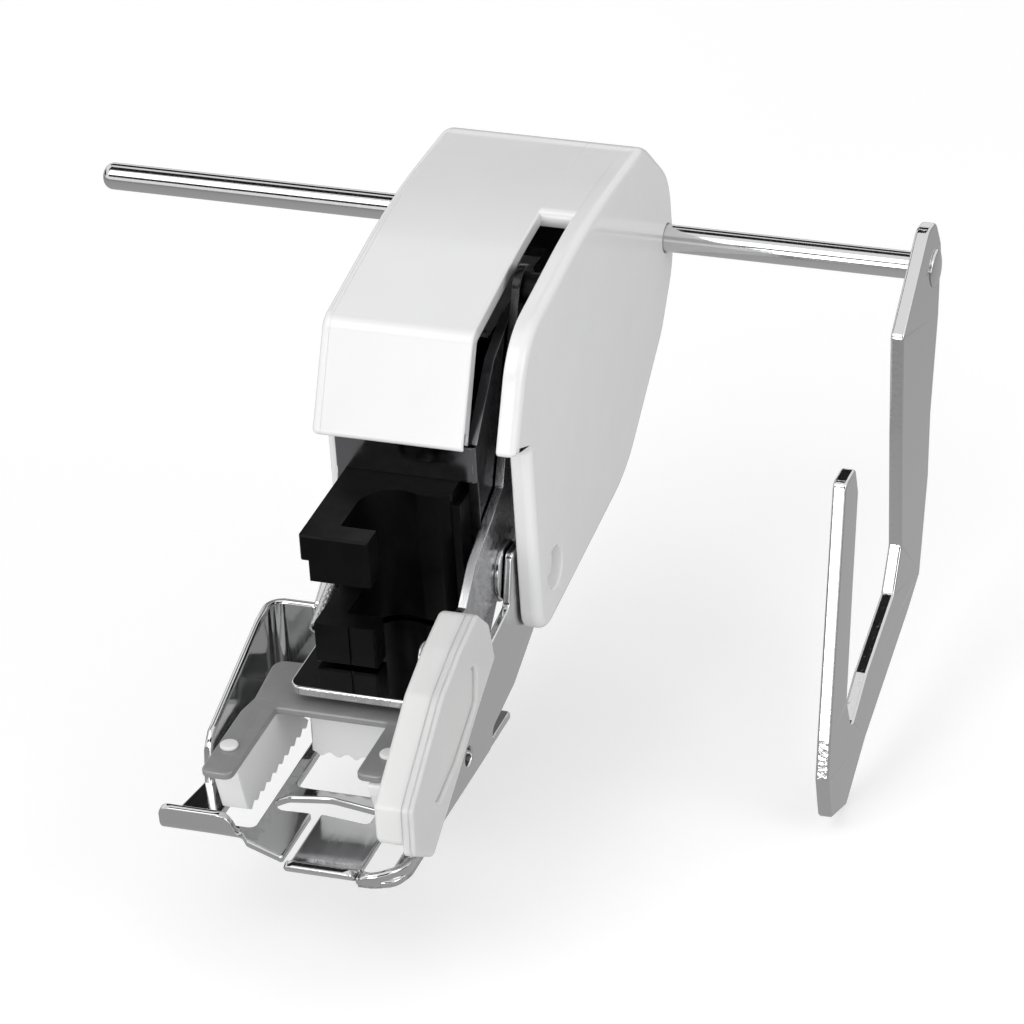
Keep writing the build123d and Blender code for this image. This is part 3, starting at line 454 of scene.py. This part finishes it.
def standing_strip(name, path, bottom, tops, thickness, finish, body, steps=5):
    """Wall that stands along a path in plan, with a round top edge.

    Its section at each station goes up one side, over half a circle of half the thickness and
    down the other side. The side's offset is along the path's normal, (-dy, dx) over its length.
    """
    path = np.asarray(path, dtype=float)
    along = np.gradient(path, axis=0)
    along /= np.linalg.norm(along, axis=1)[:, None]
    normal = np.stack([-along[:, 1], along[:, 0]], axis=-1)
    angle = np.linspace(0, pi, 2 * steps)
    half = thickness / 2
    offset = np.concatenate([[half], half * np.cos(angle), [-half]])
    tops = np.asarray(tops, dtype=float)[:, None]
    feet = np.full_like(tops, bottom)
    height = np.concatenate([feet, tops - half + half * np.sin(angle), feet], axis=1)
    plan = path[:, None, :] + normal[:, None, :] * offset[None, :, None]
    points = np.concatenate([plan, height[:, :, None]], axis=2)
    count = len(offset)
    faces = ring_faces(len(path), count).tolist()
    faces += [list(range(count)), list(range((len(path) - 1) * count, len(path) * count))]
    make_piece(name, points.reshape(-1, 3), faces, finish, body)


def turned(name, profile, place, finish, body, nodes=(), steps=48):
    """Turned piece about the line along X through this Y and Z.

    Each pair (x, r) of the profile is a ring of radius r at x.
    """
    profile = np.asarray(profile, dtype=float)
    angle = np.linspace(0, 2 * pi, steps, endpoint=False)
    x = np.broadcast_to(profile[:, 0, None], (len(profile), steps))
    y = place[0] + profile[:, 1, None] * np.cos(angle)
    z = place[1] + profile[:, 1, None] * np.sin(angle)
    points = np.stack([x, y, z], axis=-1).reshape(-1, 3)
    faces = ring_faces(len(profile), steps).tolist()
    faces += [list(range(steps)), list(range((len(profile) - 1) * steps, len(profile) * steps))]
    make_piece(name, points, faces, finish, body, nodes)


# %% [markdown]
# Some solids already have the right form and only lack the small radius that every moulded or
# stamped edge has. For those a copy of the solid is merged, its flat areas are joined back into
# single faces, and a Bevel modifier rounds the edges. The solid itself stays untouched.

# %% Copy of a solid with soft edges
def soft_copy(node, name, finish, body, edge_mm, segments=3, limit=32):
    """Merged copy of a node; edges that turn by more than the limit, in degrees, are rounded."""
    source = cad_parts[node]
    mesh = source.data.copy()
    mesh.name = name
    mesh.transform(source.matrix_world)
    shape = bmesh.new()
    shape.from_mesh(mesh)
    bmesh.ops.remove_doubles(shape, verts=shape.verts, dist=2e-6)
    bmesh.ops.dissolve_limit(shape, angle_limit=radians(0.4), verts=shape.verts, edges=shape.edges)
    shape.to_mesh(mesh)
    shape.free()
    if mesh.attributes.get("custom_normal"):
        mesh.attributes.remove(mesh.attributes["custom_normal"])
    mesh.shade_smooth()
    mesh.materials.clear()
    mesh.materials.append(finish)
    piece = add_object(name, mesh)
    edges = piece.modifiers.new("soft_edges", "BEVEL")
    edges.width = edge_mm * MM
    edges.segments = segments
    edges.limit_method = "ANGLE"
    edges.angle_limit = radians(limit)
    edges.use_clamp_overlap = True
    edges.miter_outer = "MITER_ARC"
    even_shading(piece)
    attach(piece, body)
    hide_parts(node)
    print(f"{name}: {len(mesh.polygons)} faces before its edges are rounded")


# %% [markdown]
# ## The cover
# On the real foot the cover is one moulding: a front wall and a top in one curved sweep, a thin
# left plate and a thicker right plate with a slot beside it, in which the lever moves. All of
# it follows one side outline, so the outline is worked out once, and each wall is the outline,
# or the band between it and the same line drawn in by the wall, carried across its width. The
# walls meet face to face, with round rims only where the moulding has free edges.

# %% Side outline of the cover
HINGE = (14.7, -6.15)  # the line of the sole's hinge pins, as Y and Z
ROD = (55.2, 11.4)  # the line of the guide's rod
CORNER_POINTS = 15  # points on each corner's arc
WALL = 1.6  # thickness of the front, the top and the rear


def cover_line(crease_round):
    """Closed side outline from the mouth over the top and round the back to the plate's tip."""
    corners = [
        (5.2, 12.2), (10.6, 23.0), (32.0, 26.2), (49.7, 25.65), (57.5, 17.9), (57.95, 8.0),
        (52.4, 1.2), (38.5, -8.6), (17.0, -11.4), (9.4, -12.3), (9.4, 10.35),
    ]
    radii = [0.5, crease_round, 90, 7.0, 7.0, 9.0, 9.0, 16.0, 9.0, 3.2, 0.4]
    return round_corners(corners, radii, steps=CORNER_POINTS)


def middle_of(corner):
    """Place in the outline of the middle point of a corner's arc."""
    return corner * CORNER_POINTS + CORNER_POINTS // 2


left_line = cover_line(2.2)
right_line = cover_line(8.5)
# The line runs clockwise, so it is turned round to be drawn in, and turned back.
wall_line = drawn_in(left_line[::-1], WALL)[::-1]
slot_end = middle_of(2)
belly_end = middle_of(7)
print("slot ends at Y and Z, mm:", np.round(left_line[slot_end], 2))
print("wall ends at Y and Z, mm:", np.round(left_line[belly_end], 2))


# %% Walls of the cover
def wall_band(first, last):
    """Closed band between the side outline and the wall's inner line, from first to last point."""
    return np.concatenate([left_line[first : last + 1], wall_line[first : last + 1][::-1]])


rod_bore = circle(ROD, 1.58)
plate(
    "cover_front_and_top", wall_band(0, belly_end), -9.25, 15.5, (0.0, 0.25),
    white_moulding, "frame", ["cover"],
)
plate("cover_rear", wall_band(slot_end, belly_end), 6.0, 4.05, 0.0, white_moulding, "frame")
plate(
    "cover_left", left_line, -10.25, 1.0, (0.7, 0.0), white_moulding, "frame",
    holes=[rod_bore, circle(HINGE, 1.55)], steps=7, hole_rim=0.15,
)
plate(
    "cover_right", right_line, 9.75, 2.25, (0.28, 1.0), white_moulding, "frame",
    holes=[rod_bore, circle(HINGE, 2.3)], steps=7, hole_rim=(0.0, 0.22),
)
plate("pin_seat", circle(HINGE, 2.28), 9.8, 1.1, (0.0, 0.2), white_moulding, "frame")

# %% Bosses and screws of the cover
screw_places = [(30.0, 7.0), (43.0, 14.0)]
bosses = [(place, -9.3, -8.35) for place in screw_places]
bosses += [(place, 7.05, 9.8) for place in ((27.0, -4.0), (44.0, 8.0))]
for index, (place, start, end) in enumerate(bosses):
    profile = [(start, 2.0), (end, 2.0)]
    turned(f"cover_boss_{index + 1}", profile, place, white_moulding, "frame")
screw_head = [
    (-10.2, 1.9), (-10.55, 1.9), (-10.75, 1.7), (-10.85, 1.2), (-10.85, 0.6), (-10.6, 0.55),
    (-10.6, 0.02),
]
for index, place in enumerate(screw_places):
    turned(f"cover_screw_{index + 1}", screw_head, place, turned_steel, "frame")

# %% [markdown]
# ## The clamp block and the frame
# The block is moulded too, with edges of about a sixth of a millimetre. The frame is folded
# sheet: its edges are sheared, so they are sharper.

# %% Block and frame
soft_copy("shank_block", "clamp_block", black_moulding, "frame", 0.16)
soft_copy("frame_bracket", "frame_sheet", dark_plating, "frame", 0.12)

# %% [markdown]
# ## Base plate
# A polished plate under the block. Its edge is rough from the punch, with a small round where
# it meets the faces, which gives the bright line along its front.

# %% Base plate and its screws
base_corners = [(-7.95, -11.8), (6.25, -11.8), (6.25, 12.5), (-7.95, 12.5)]
plate(
    "base_sheet", round_corners(base_corners, [1.5, 1.2, 0.2, 0.2]), -8.5, 1.0, (0.15, 0.22),
    punched_plate, "frame", ["base_plate"], across="Z",
)
for side, x in (("left", -4.2), ("right", 2.6)):
    plate(
        f"base_screw_{side}", circle((x, 8.3), 1.9), -8.9, 0.42, 0.15, turned_steel, "frame",
        across="Z",
    )

# %% [markdown]
# ## Sole bracket
# One folded sheet of mirror-bright steel: the slotted sole with its turned-up toes, a low wall
# on each side and the two arms that hinge on the frame. The folds make it the piece with the
# most reflections, so its edges get a clear radius.

# %% Slotted sole plate
SOLE_SHEET = 0.85  # thickness of the sheet that the whole bracket is folded from
sole_corners = [
    (-16.6, 5.5), (-16.6, -14.0), (-17.6, -20.5), (-18.3, -22.6), (-9.6, -22.9), (-8.6, -24.2),
    (-3.9, -26.2), (-3.9, -17.7), (-7.2, -17.9), (-8.4, -16.8), (-7.2, -15.5), (-3.0, -14.7),
    (2.5, -15.7), (2.5, -18.3), (-2.9, -17.6), (-2.9, -26.6), (4.5, -26.6), (4.5, -27.9),
    (9.3, -27.9), (9.55, 5.5),
]
sole_radii = [
    0.4, 2.0, 2.0, 0.2, 1.0, 1.0, 0.3, 0.3, 1.0, 1.0, 1.0, 4.0, 0.5, 0.5, 0.3, 0.2, 0.2, 0.3,
    3.8, 0.4,
]
sole_openings = [
    round_corners([(-7.2, -13.4), (3.3, -13.4), (3.3, 1.5), (-7.2, 1.5)], 0.9),
    round_corners([(-12.8, -21.7), (-8.65, -21.7), (-8.65, 0.5), (-12.8, 0.5)], 0.7),
    round_corners([(4.6, -26.4), (7.6, -26.4), (7.6, -2.0), (4.6, -2.0)], 0.9),
]
plate(
    "sole_sheet", round_corners(sole_corners, sole_radii), -19.35, SOLE_SHEET, 0.26,
    bright_plating, "sole", ["sole_bracket"], holes=sole_openings, across="Z",
)

# %% [markdown]
# The toes are lips of the same sheet. The left one stands up almost square: an arc of 84
# degrees, then a straight run. The centre one is an arc alone, of 72 degrees. Each is a strip
# bent along that line, and its free end has round corners.

# %% Turned-up toes
def curl(centre, radius, turn_degrees, count):
    """Arc in side view that starts level, right below its centre, and turns forward and up."""
    turn = np.linspace(0, radians(turn_degrees), count)
    return np.stack([centre[0] - radius * np.sin(turn), centre[1] - radius * np.cos(turn)], axis=-1)


def end_round(along, start, length, radius):
    """How far a strip's sides draw in at each place along it, as shares of its length.

    Nothing up to the start, then radius * (1 - sqrt(1 - s * s)) with s from 0 to 1: a quarter
    of an ellipse.
    """
    share = np.clip(along - start, 0, 1) / length
    return radius * (1 - np.sqrt(np.clip(1 - share**2, 0, 1)))


lip_line = np.concatenate(
    [
        [(-22.0, -18.92)],
        curl((-22.2, -18.02), 0.9, 84, 10),
        np.stack([np.linspace(-23.12, -23.32, 8), np.linspace(-17.75, -16.2, 8)], axis=-1),
    ]
)
up_the_lip = np.linspace(0, 1, len(lip_line))
lip_round = end_round(up_the_lip, 0.7, 0.3, 0.9)
bent_strip(
    "left_lip", lip_line, -18.3 + lip_round, -9.2 - 1.6 * up_the_lip - lip_round,
    SOLE_SHEET, 0.3, bright_plating, "sole",
)
toe_line = np.concatenate([[(-26.2, -18.92)], curl((-26.5, -17.02), 1.9, 72, 16)])
toe_round = end_round(np.linspace(0, 1, len(toe_line)), 0.8, 0.2, 0.5)
bent_strip(
    "centre_toe", toe_line, -2.9 + toe_round, 4.5 - toe_round,
    SOLE_SHEET, 0.3, bright_plating, "sole",
)

# %% [markdown]
# Round its right front corner the sole is rolled up, so that it slides over the cloth.

# %% Rolled rim
roll = np.linspace(-pi / 2, 0, 12)
rim_path = np.concatenate(
    [
        np.stack([np.linspace(4.95, 5.65, 3), np.full(3, -27.75)], axis=-1),
        np.stack([5.75 + 3.35 * np.cos(roll), -24.4 + 3.35 * np.sin(roll)], axis=-1),
        np.stack([np.full(4, 9.1), np.linspace(-24.0, -20.5, 4)], axis=-1),
    ]
)
rim_stations = [0, 2, 8, 14, 18]
rim_tops = np.interp(np.arange(len(rim_path)), rim_stations, [-18.3, -17.9, -17.5, -17.6, -18.4])
standing_strip("sole_rim", rim_path, -19.3, rim_tops, 0.9, bright_plating, "sole")

# %% [markdown]
# The left wall is low at the front and rises to the back, where it is folded round a corner
# into a short tab. A flat arm inside it and the tall right wall reach back to the hinge pins.

# %% Walls and hinge arms of the sole
turn = np.linspace(0, pi / 2, 12)
wall_y = np.linspace(-15.2, 3.3, 30)
wall_path = np.concatenate(
    [
        np.stack([np.full_like(wall_y, -16.17), wall_y], axis=-1),
        np.stack([-14.4 - 1.77 * np.cos(turn), 3.3 + 1.77 * np.sin(turn)], axis=-1)[1:],
        np.stack([np.linspace(-13.9, -10.6, 5), np.full(5, 5.07)], axis=-1),
    ]
)
wall_stations = [-15.2, -14.6, -13.4, 1.3, 3.7]
wall_tops = np.interp(wall_path[:, 1], wall_stations, [-18.6, -14.6, -13.1, -8.5, -8.15])
standing_strip(
    "sole_left_wall", wall_path, -18.9, wall_tops, SOLE_SHEET, bright_plating, "sole"
)

left_arm_corners = [
    (4.65, -17.0), (4.65, -8.15), (12.6, -3.4), (16.6, -3.4), (17.8, -6.2), (16.4, -9.6),
    (9.0, -13.6), (7.0, -17.0),
]
pin_hole = circle(HINGE, 1.55)
plate(
    "sole_left_arm", round_corners(left_arm_corners, 0.9), -11.3, SOLE_SHEET, 0.2,
    bright_plating, "sole", holes=[pin_hole],
)
right_wall_corners = [
    (-21.0, -19.0), (-0.8, -19.35), (0.4, -17.35), (7.1, -16.25), (13.7, -13.55), (18.2, -8.6),
    (18.0, -3.6), (14.7, -1.9), (8.9, -1.5), (7.2, -6.9), (1.7, -7.75), (-1.5, -9.0),
    (-20.2, -17.75),
]
plate(
    "sole_right_wall", round_corners(right_wall_corners, 0.9), 8.7, SOLE_SHEET, 0.22,
    bright_plating, "sole", holes=[pin_hole, circle((-7.2, -16.2), 1.05)],
)

# %% [markdown]
# ## Fork and lever
# The nylon fork straddles the needle clamp screw. It is three plates face to face: a thick one,
# a thin one with the longer front, and a rim round the recess. A steel lever runs from it over
# the pivot and up into the cover. The small rivets through its tang have bright heads.

# %% Fork, lever, bush and rivet heads
fork_back = [
    (-14.1, -14.6), (-7.0, -10.6), (-1.2, -7.7), (-2.3, -3.0), (-5.4, 0.0), (-10.7, -1.2),
    (-16.5, -3.2),
]
fork_radii = [0.6, 1.2, 1.0, 1, 1, 0.7, 1.0, 1.4, 3, 3]
inner_front = [(-27.0, -10.2), (-27.05, -14.6), (-20.5, -16.6)]
outer_front = [(-27.0, -10.2), (-27.1, -15.5), (-22.0, -18.8)]
inner_outline = round_corners(inner_front + fork_back, fork_radii)
outer_outline = round_corners(outer_front + fork_back, fork_radii)
recess_corners = [
    (-20.8, -7.4), (-20.3, -14.2), (-14.0, -12.6), (-7.4, -9.4), (-6.6, -5.2), (-13.0, -4.3),
]
plate("fork_inner", inner_outline, 6.7, 3.0, (0.6, 0.0), nylon, "lever", ["nylon_fork"], steps=7)
plate("fork_core", outer_outline, 9.7, 0.75, 0.0, nylon, "lever")
plate(
    "fork_rim", outer_outline, 10.45, 0.45, (0.0, 0.44), nylon, "lever",
    holes=[round_corners(recess_corners, 1.3)], steps=7, hole_rim=(0.0, 0.42),
)
soft_copy("fork_lever", "lever_sheet", lever_steel, "lever", 0.1)
soft_copy("pivot_bush", "bush_ring", bright_plating, "lever", 0.12)
rivet_dome = [(6.7, 1.52), (6.42, 1.5), (6.28, 1.25), (6.2, 0.7), (6.19, 0.05)]
for index, place in enumerate(((-9.9, -2.9), (-10.8, -7.6))):
    turned(f"fork_rivet_{index + 1}", rivet_dome, place, bright_plating, "lever")

# %% [markdown]
# ## Feed dogs
# The dogs are soft white plastic with wavy teeth along their lower edge. The teeth are a cosine
# wave in the outline: height = lowest + depth * (1 + cos(2 pi s / pitch)) / 2, with s the way
# from the wave's start. The pitch is fitted so that whole waves fill the length.

# %% Dogs and carrier
DOG_TOP = -10.15
DOG_LOW = -16.55
TOOTH_DEPTH = 0.5
CARRIER_SHEET = 0.8


def teeth(start, end, pitch):
    """Points of the lower edge from start to end, with whole waves of about this pitch."""
    waves = round(abs(end - start) / pitch)
    count = waves * 10 + 1
    phase = np.linspace(0, 2 * pi * waves, count)
    height = DOG_LOW + TOOTH_DEPTH * (1 + np.cos(phase)) / 2
    return np.stack([np.linspace(start, end, count), height], axis=-1)


def side_dog(name, left, width, front, rear, node):
    """Long dog: straight top under the carrier, wavy bottom, swept front."""
    top_corners = [(rear + 0.6, DOG_TOP), (front - 2.0, DOG_TOP), (front - 1.7, DOG_TOP - 1.5)]
    outline = np.concatenate([round_corners(top_corners, 0.25), teeth(front, rear - 0.3, 1.8)])
    plate(name, outline, left, width, 0.12, dog_plastic, "carriage", [node])


side_dog("left_dog", -11.7, 2.9, -22.2, -4.6, "feed_dog_left")
side_dog("right_dog", 4.85, 1.55, -21.5, -4.6, "feed_dog_right")
# The third corner only gives the second one its direction, so its points are left out.
corner_points = 7
centre_corners = [(-6.4, DOG_TOP), (3.0, DOG_TOP), (3.0, DOG_LOW + 2)]
centre_top = round_corners(centre_corners, 0.01, steps=corner_points)[: 2 * corner_points]
plate(
    "centre_dog", np.concatenate([centre_top, teeth(3.0, -6.4, 1.88)]), -10.3, 10.9, 0.14,
    dog_plastic, "carriage", ["feed_dog_centre"], across="Y",
)
carrier_corners = [
    (-12.05, -26.2), (-8.7, -26.2), (-8.7, -13.2), (3.4, -13.2), (3.4, -23.0), (6.5, -23.0),
    (6.5, 1.0), (5.75, 1.0), (5.75, 19.5), (-7.05, 19.5), (-7.05, -4.4), (-12.1, -4.6),
    (-11.55, -12.0), (-12.05, -14.6),
]
carrier_radii = [0.9, 0.9, 0.4, 0.4, 0.9, 0.9, 0.3, 0.3, 0.5, 0.5, 0.4, 1.3, 1.0, 0.8]
plate(
    "carrier_sheet", round_corners(carrier_corners, carrier_radii), DOG_TOP, CARRIER_SHEET, 0.18,
    grey_sheet, "carriage", ["feed_carrier"], across="Z",
)
ear_corners = [(14.5, -9.6), (19.3, -9.6), (19.4, -5.0), (18.6, -2.7), (15.4, -2.7), (14.4, -5.0)]
ear_hole = circle((17.0, -5.0), 1.25)
for side, start in (("left", -7.05), ("right", 4.95)):
    plate(
        f"carrier_ear_{side}", round_corners(ear_corners, 0.6), start, CARRIER_SHEET, 0.12,
        grey_sheet, "carriage", holes=[ear_hole],
    )
for index, place in enumerate(((-10.7, -21.35), (5.6, -19.0))):
    plate(
        f"stud_{index + 1}", circle(place, 0.95), -9.36, 0.42, 0.16, dog_plastic, "carriage",
        across="Z",
    )

# %% [markdown]
# ## Guide
# The rod is drawn wire with a rounded end. The blade is punched from thick sheet, so its edge
# is rough where the punch tore it and its two faces are polished. The rod's other end is
# riveted over the blade.

# %% Rod and blade
rod_start = -53.4
blade_face = 40.4
rod_radius = 1.5
end_radius = 1.1
turn = np.linspace(pi / 2, 0, 9)
rod_end = np.stack(
    [
        rod_start + end_radius * (1 - np.sin(turn)),
        rod_radius - end_radius + end_radius * np.cos(turn),
    ],
    axis=-1,
)
rod_profile = [(rod_start, 0.02)] + rod_end.tolist()
rod_profile += [(blade_face - 0.02, rod_radius), (blade_face, 1.48), (blade_face, 0.02)]
turned("rod_bar", rod_profile, ROD, bright_plating, "rod", ["guide_rod"], steps=64)
rivet_profile = [
    (blade_face, 1.1), (41.88, 1.1), (41.9, 2.05), (42.02, 2.1), (42.16, 1.7), (42.25, 0.9),
    (42.25, 0.02),
]
turned("rod_rivet", rivet_profile, ROD, bright_plating, "rod")

blade_corners = [
    (53.4, 16.9), (56.2, 16.5), (57.85, 12.9), (56.0, 5.3), (52.1, -4.5), (50.5, -11.4),
    (46.2, -21.2), (41.5, -23.2), (24.7, -28.9), (17.4, -32.6), (12.0, -30.9), (11.5, -26.0),
    (12.7, -21.8), (21.3, 4.2), (24.8, 4.2), (25.4, 0.9), (22.3, -9.0), (18.9, -20.6),
    (20.2, -24.9), (26.2, -21.7), (36.7, -18.2), (39.9, -14.2), (41.4, -1.2), (43.0, 9.6),
    (45.4, 11.3),
]
blade_radii = [1.8, 1.7, 2.2] + [0.9] * (len(blade_corners) - 3)
plate(
    "blade_sheet", round_corners(blade_corners, blade_radii, steps=12), blade_face, 1.5, 0.26,
    punched_blade, "blade", ["guide_blade"], holes=[circle(ROD, 1.15)],
)

# %% [markdown]
# ## Small steel parts
# The pins, shafts and springs keep their solids. They only get their finish.

# %% Finishes of the plain nodes
plain_nodes = {
    "sole_pins": turned_steel,
    "fork_pivot_pin": turned_steel,
    "lever_roller": black_moulding,
    "cross_shafts": turned_steel,
    "feed_yoke": lever_steel,
    "carriage_pin_shaft": turned_steel,
    "feed_spring": spring_wire,
    "hook_spring": spring_wire,
    "rod_spring": turned_steel,
    "rod_spring_screw": turned_steel,
}
for node, finish in plain_nodes.items():
    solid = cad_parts[node]
    if len(solid.material_slots) == 0:
        solid.data.materials.append(finish)
    for slot in solid.material_slots:
        slot.material = finish
print("plain nodes:", len(plain_nodes))

# %% [markdown]
# ## Floor, light and camera
# The foot floats just above a white floor, because the guide reaches lower than the sole. The
# floor is a little brighter to the camera than its colour alone, so it reads as white paper but
# still takes the shadow. In the same way the white surroundings are seen at full brightness and
# light the foot with two thirds of it. Polished metal shows what is round it, so dark cards
# stand where a studio has its dark corners; only reflections see them.

# %% Floor and world
def rays(tree, *kinds):
    """1 for rays of any of these kinds, 0 for the others."""
    path = tree.nodes.new("ShaderNodeLightPath")
    found = path.outputs[f"Is {kinds[0]} Ray"]
    for kind in kinds[1:]:
        either = tree.nodes.new("ShaderNodeMath")
        either.operation = "MAXIMUM"
        tree.links.new(found, either.inputs[0])
        tree.links.new(path.outputs[f"Is {kind} Ray"], either.inputs[1])
        found = either.outputs[0]
    return found


def rectangle(name, half_width, half_height, level=0.0):
    """Mesh of one face, level with X and Y, in metres."""
    mesh = bpy.data.meshes.new(name)
    w, h = half_width, half_height
    corners = [(-w, -h, level), (w, -h, level), (w, h, level), (-w, h, level)]
    mesh.from_pydata(corners, [], [(0, 1, 2, 3)])
    return mesh


floor_gap = 0.6 * MM
floor_half = 3.0
floor = add_object("floor", rectangle("floor", floor_half, floor_half, solid_low[2] - floor_gap))

floor_paper = bpy.data.materials.new("floor_paper")
floor_paper.use_nodes = True
tree = floor_paper.node_tree
tree.nodes.clear()
paper = tree.nodes.new("ShaderNodeBsdfDiffuse")
paper.inputs["Color"].default_value = (0.8, 0.8, 0.8, 1)
glow = tree.nodes.new("ShaderNodeEmission")
extra_light = 0.34
lift = tree.nodes.new("ShaderNodeMath")
lift.operation = "MULTIPLY"
lift.inputs[1].default_value = extra_light
both = tree.nodes.new("ShaderNodeAddShader")
output = tree.nodes.new("ShaderNodeOutputMaterial")
tree.links.new(rays(tree, "Camera", "Glossy"), lift.inputs[0])
tree.links.new(lift.outputs[0], glow.inputs["Strength"])
tree.links.new(paper.outputs[0], both.inputs[0])
tree.links.new(glow.outputs[0], both.inputs[1])
tree.links.new(both.outputs[0], output.inputs["Surface"])
floor.data.materials.append(floor_paper)

world = bpy.data.worlds.new("studio")
bpy.context.scene.world = world
world.use_nodes = True
tree = world.node_tree
sky = tree.nodes["Background"]
light_given, light_seen = 0.66, 1.0
seen = rays(tree, "Camera", "Glossy", "Transmission")
tree.links.new(spread(tree, seen, light_given, light_seen, 0.0, 1.0), sky.inputs["Strength"])
sky.inputs["Color"].default_value = (1, 1, 1, 1)


# %% Lamps and dark cards
def aim(thing, place_mm, target_mm=(0, 15, 0)):
    """Turns a lamp or card at this place so that its -Z axis points at the target."""
    place = Vector(place_mm) * MM
    direction = Vector(target_mm) * MM - place
    turn = direction.to_track_quat("-Z", "Y").to_matrix().to_4x4()
    thing.matrix_world = Matrix.Translation(place) @ turn


def softbox(name, place_mm, size_mm, watts):
    """Square area lamp aimed at the foot."""
    light = bpy.data.lights.new(name, "AREA")
    light.size = size_mm * MM
    light.energy = watts
    aim(add_object(name, light), place_mm)


softbox("key_lamp", (-300, -480, 680), 500, 1.35)
softbox("front_lamp", (-60, -820, 150), 420, 2.1)
softbox("side_lamp", (650, -150, 350), 400, 0.8)


card_black = new_finish("card_black", (0.01, 0.01, 0.01), 0.0, 1.0)[0]


def reflection_card(name, place_mm, target_mm, width_mm, height_mm, finish=card_black):
    """Card that only reflections see, black unless it is given another finish."""
    mesh = rectangle(name, width_mm * MM / 2, height_mm * MM / 2)
    card = add_object(name, mesh)
    aim(card, place_mm, target_mm)
    card.visible_camera = False
    card.visible_diffuse = False
    card.visible_shadow = False
    card.visible_transmission = False
    mesh.materials.append(finish)


reflection_card("card_behind_camera", (330, -860, 540), (0, 15, 0), 900, 560)
reflection_card("card_front_left", (-420, -820, 500), (0, 15, 0), 420, 330)
reflection_card("card_back", (-170, 520, 330), (0, 0, -10), 460, 260)
reflection_card("card_left", (-700, 100, 120), (0, 15, 0), 500, 200)
reflection_card("card_right", (700, 60, 60), (0, 15, 0), 420, 160)
reflection_card("card_above", (-210, 230, 640), (0, 40, 0), 900, 230)

# %% [markdown]
# What polished metal shows of the floor is darker than paper, because the paper under the
# foot lies in its own soft shade. A card on the floor has that shade for reflections alone: a
# mid grey up to 40 mm from the card's middle, darker with distance up to 300 mm.

# %% Card on the floor
shade = bpy.data.materials.new("floor_shade")
shade.use_nodes = True
tree = shade.node_tree
tree.nodes.clear()
place = tree.nodes.new("ShaderNodeTexCoord")
length = tree.nodes.new("ShaderNodeVectorMath")
length.operation = "LENGTH"
tree.links.new(place.outputs["Object"], length.inputs[0])
glow = tree.nodes.new("ShaderNodeEmission")
output = tree.nodes.new("ShaderNodeOutputMaterial")
grey = spread(tree, length.outputs["Value"], 0.46, 0.3, 40 * MM, 300 * MM)
tree.links.new(grey, glow.inputs["Strength"])
tree.links.new(glow.outputs[0], output.inputs["Surface"])
reflection_card("card_on_floor", (20, 60, -32.95), (20, 60, 500), 1500, 1500, shade)

# %% [markdown]
# The photograph was taken with a long lens from the front right, about 30 degrees up. The
# camera is placed from one known corner of the clamp block: that corner has to fall on its own
# pixel, at the distance which gives the right scale.

# %% Camera
image_size = 1024
sensor_mm = 36
azimuth, elevation, roll = radians(21.0), radians(30.5), radians(-3.8)
back = np.array([sin(azimuth) * cos(elevation), -cos(azimuth) * cos(elevation), sin(elevation)])
level_right = np.array([cos(azimuth), sin(azimuth), 0.0])
level_up = np.cross(back, level_right)
right = cos(roll) * level_right + sin(roll) * level_up
up = -sin(roll) * level_right + cos(roll) * level_up
focal_pixels = 6500.0
pixels_per_mm = 9.9
distance = focal_pixels / pixels_per_mm
corner_mm = np.array([-7.25, -7.25, 7.8])
corner_pixel = (298, 535)
across = (corner_pixel[0] - image_size / 2) / pixels_per_mm
above = -(corner_pixel[1] - image_size / 2) / pixels_per_mm
eye = corner_mm - across * right - above * up + distance * back

camera_data = bpy.data.cameras.new("camera")
camera_data.lens = focal_pixels / image_size * sensor_mm
camera_data.sensor_width = sensor_mm
camera = add_object("camera", camera_data)
camera.matrix_world = Matrix(
    [
        [right[0], up[0], back[0], eye[0] * MM],
        [right[1], up[1], back[1], eye[1] * MM],
        [right[2], up[2], back[2], eye[2] * MM],
        [0, 0, 0, 1],
    ]
)
bpy.context.scene.camera = camera
bpy.context.scene.view_settings.view_transform = "Standard"
print("camera at, mm:", np.round(eye, 1), "lens:", round(camera_data.lens, 1))
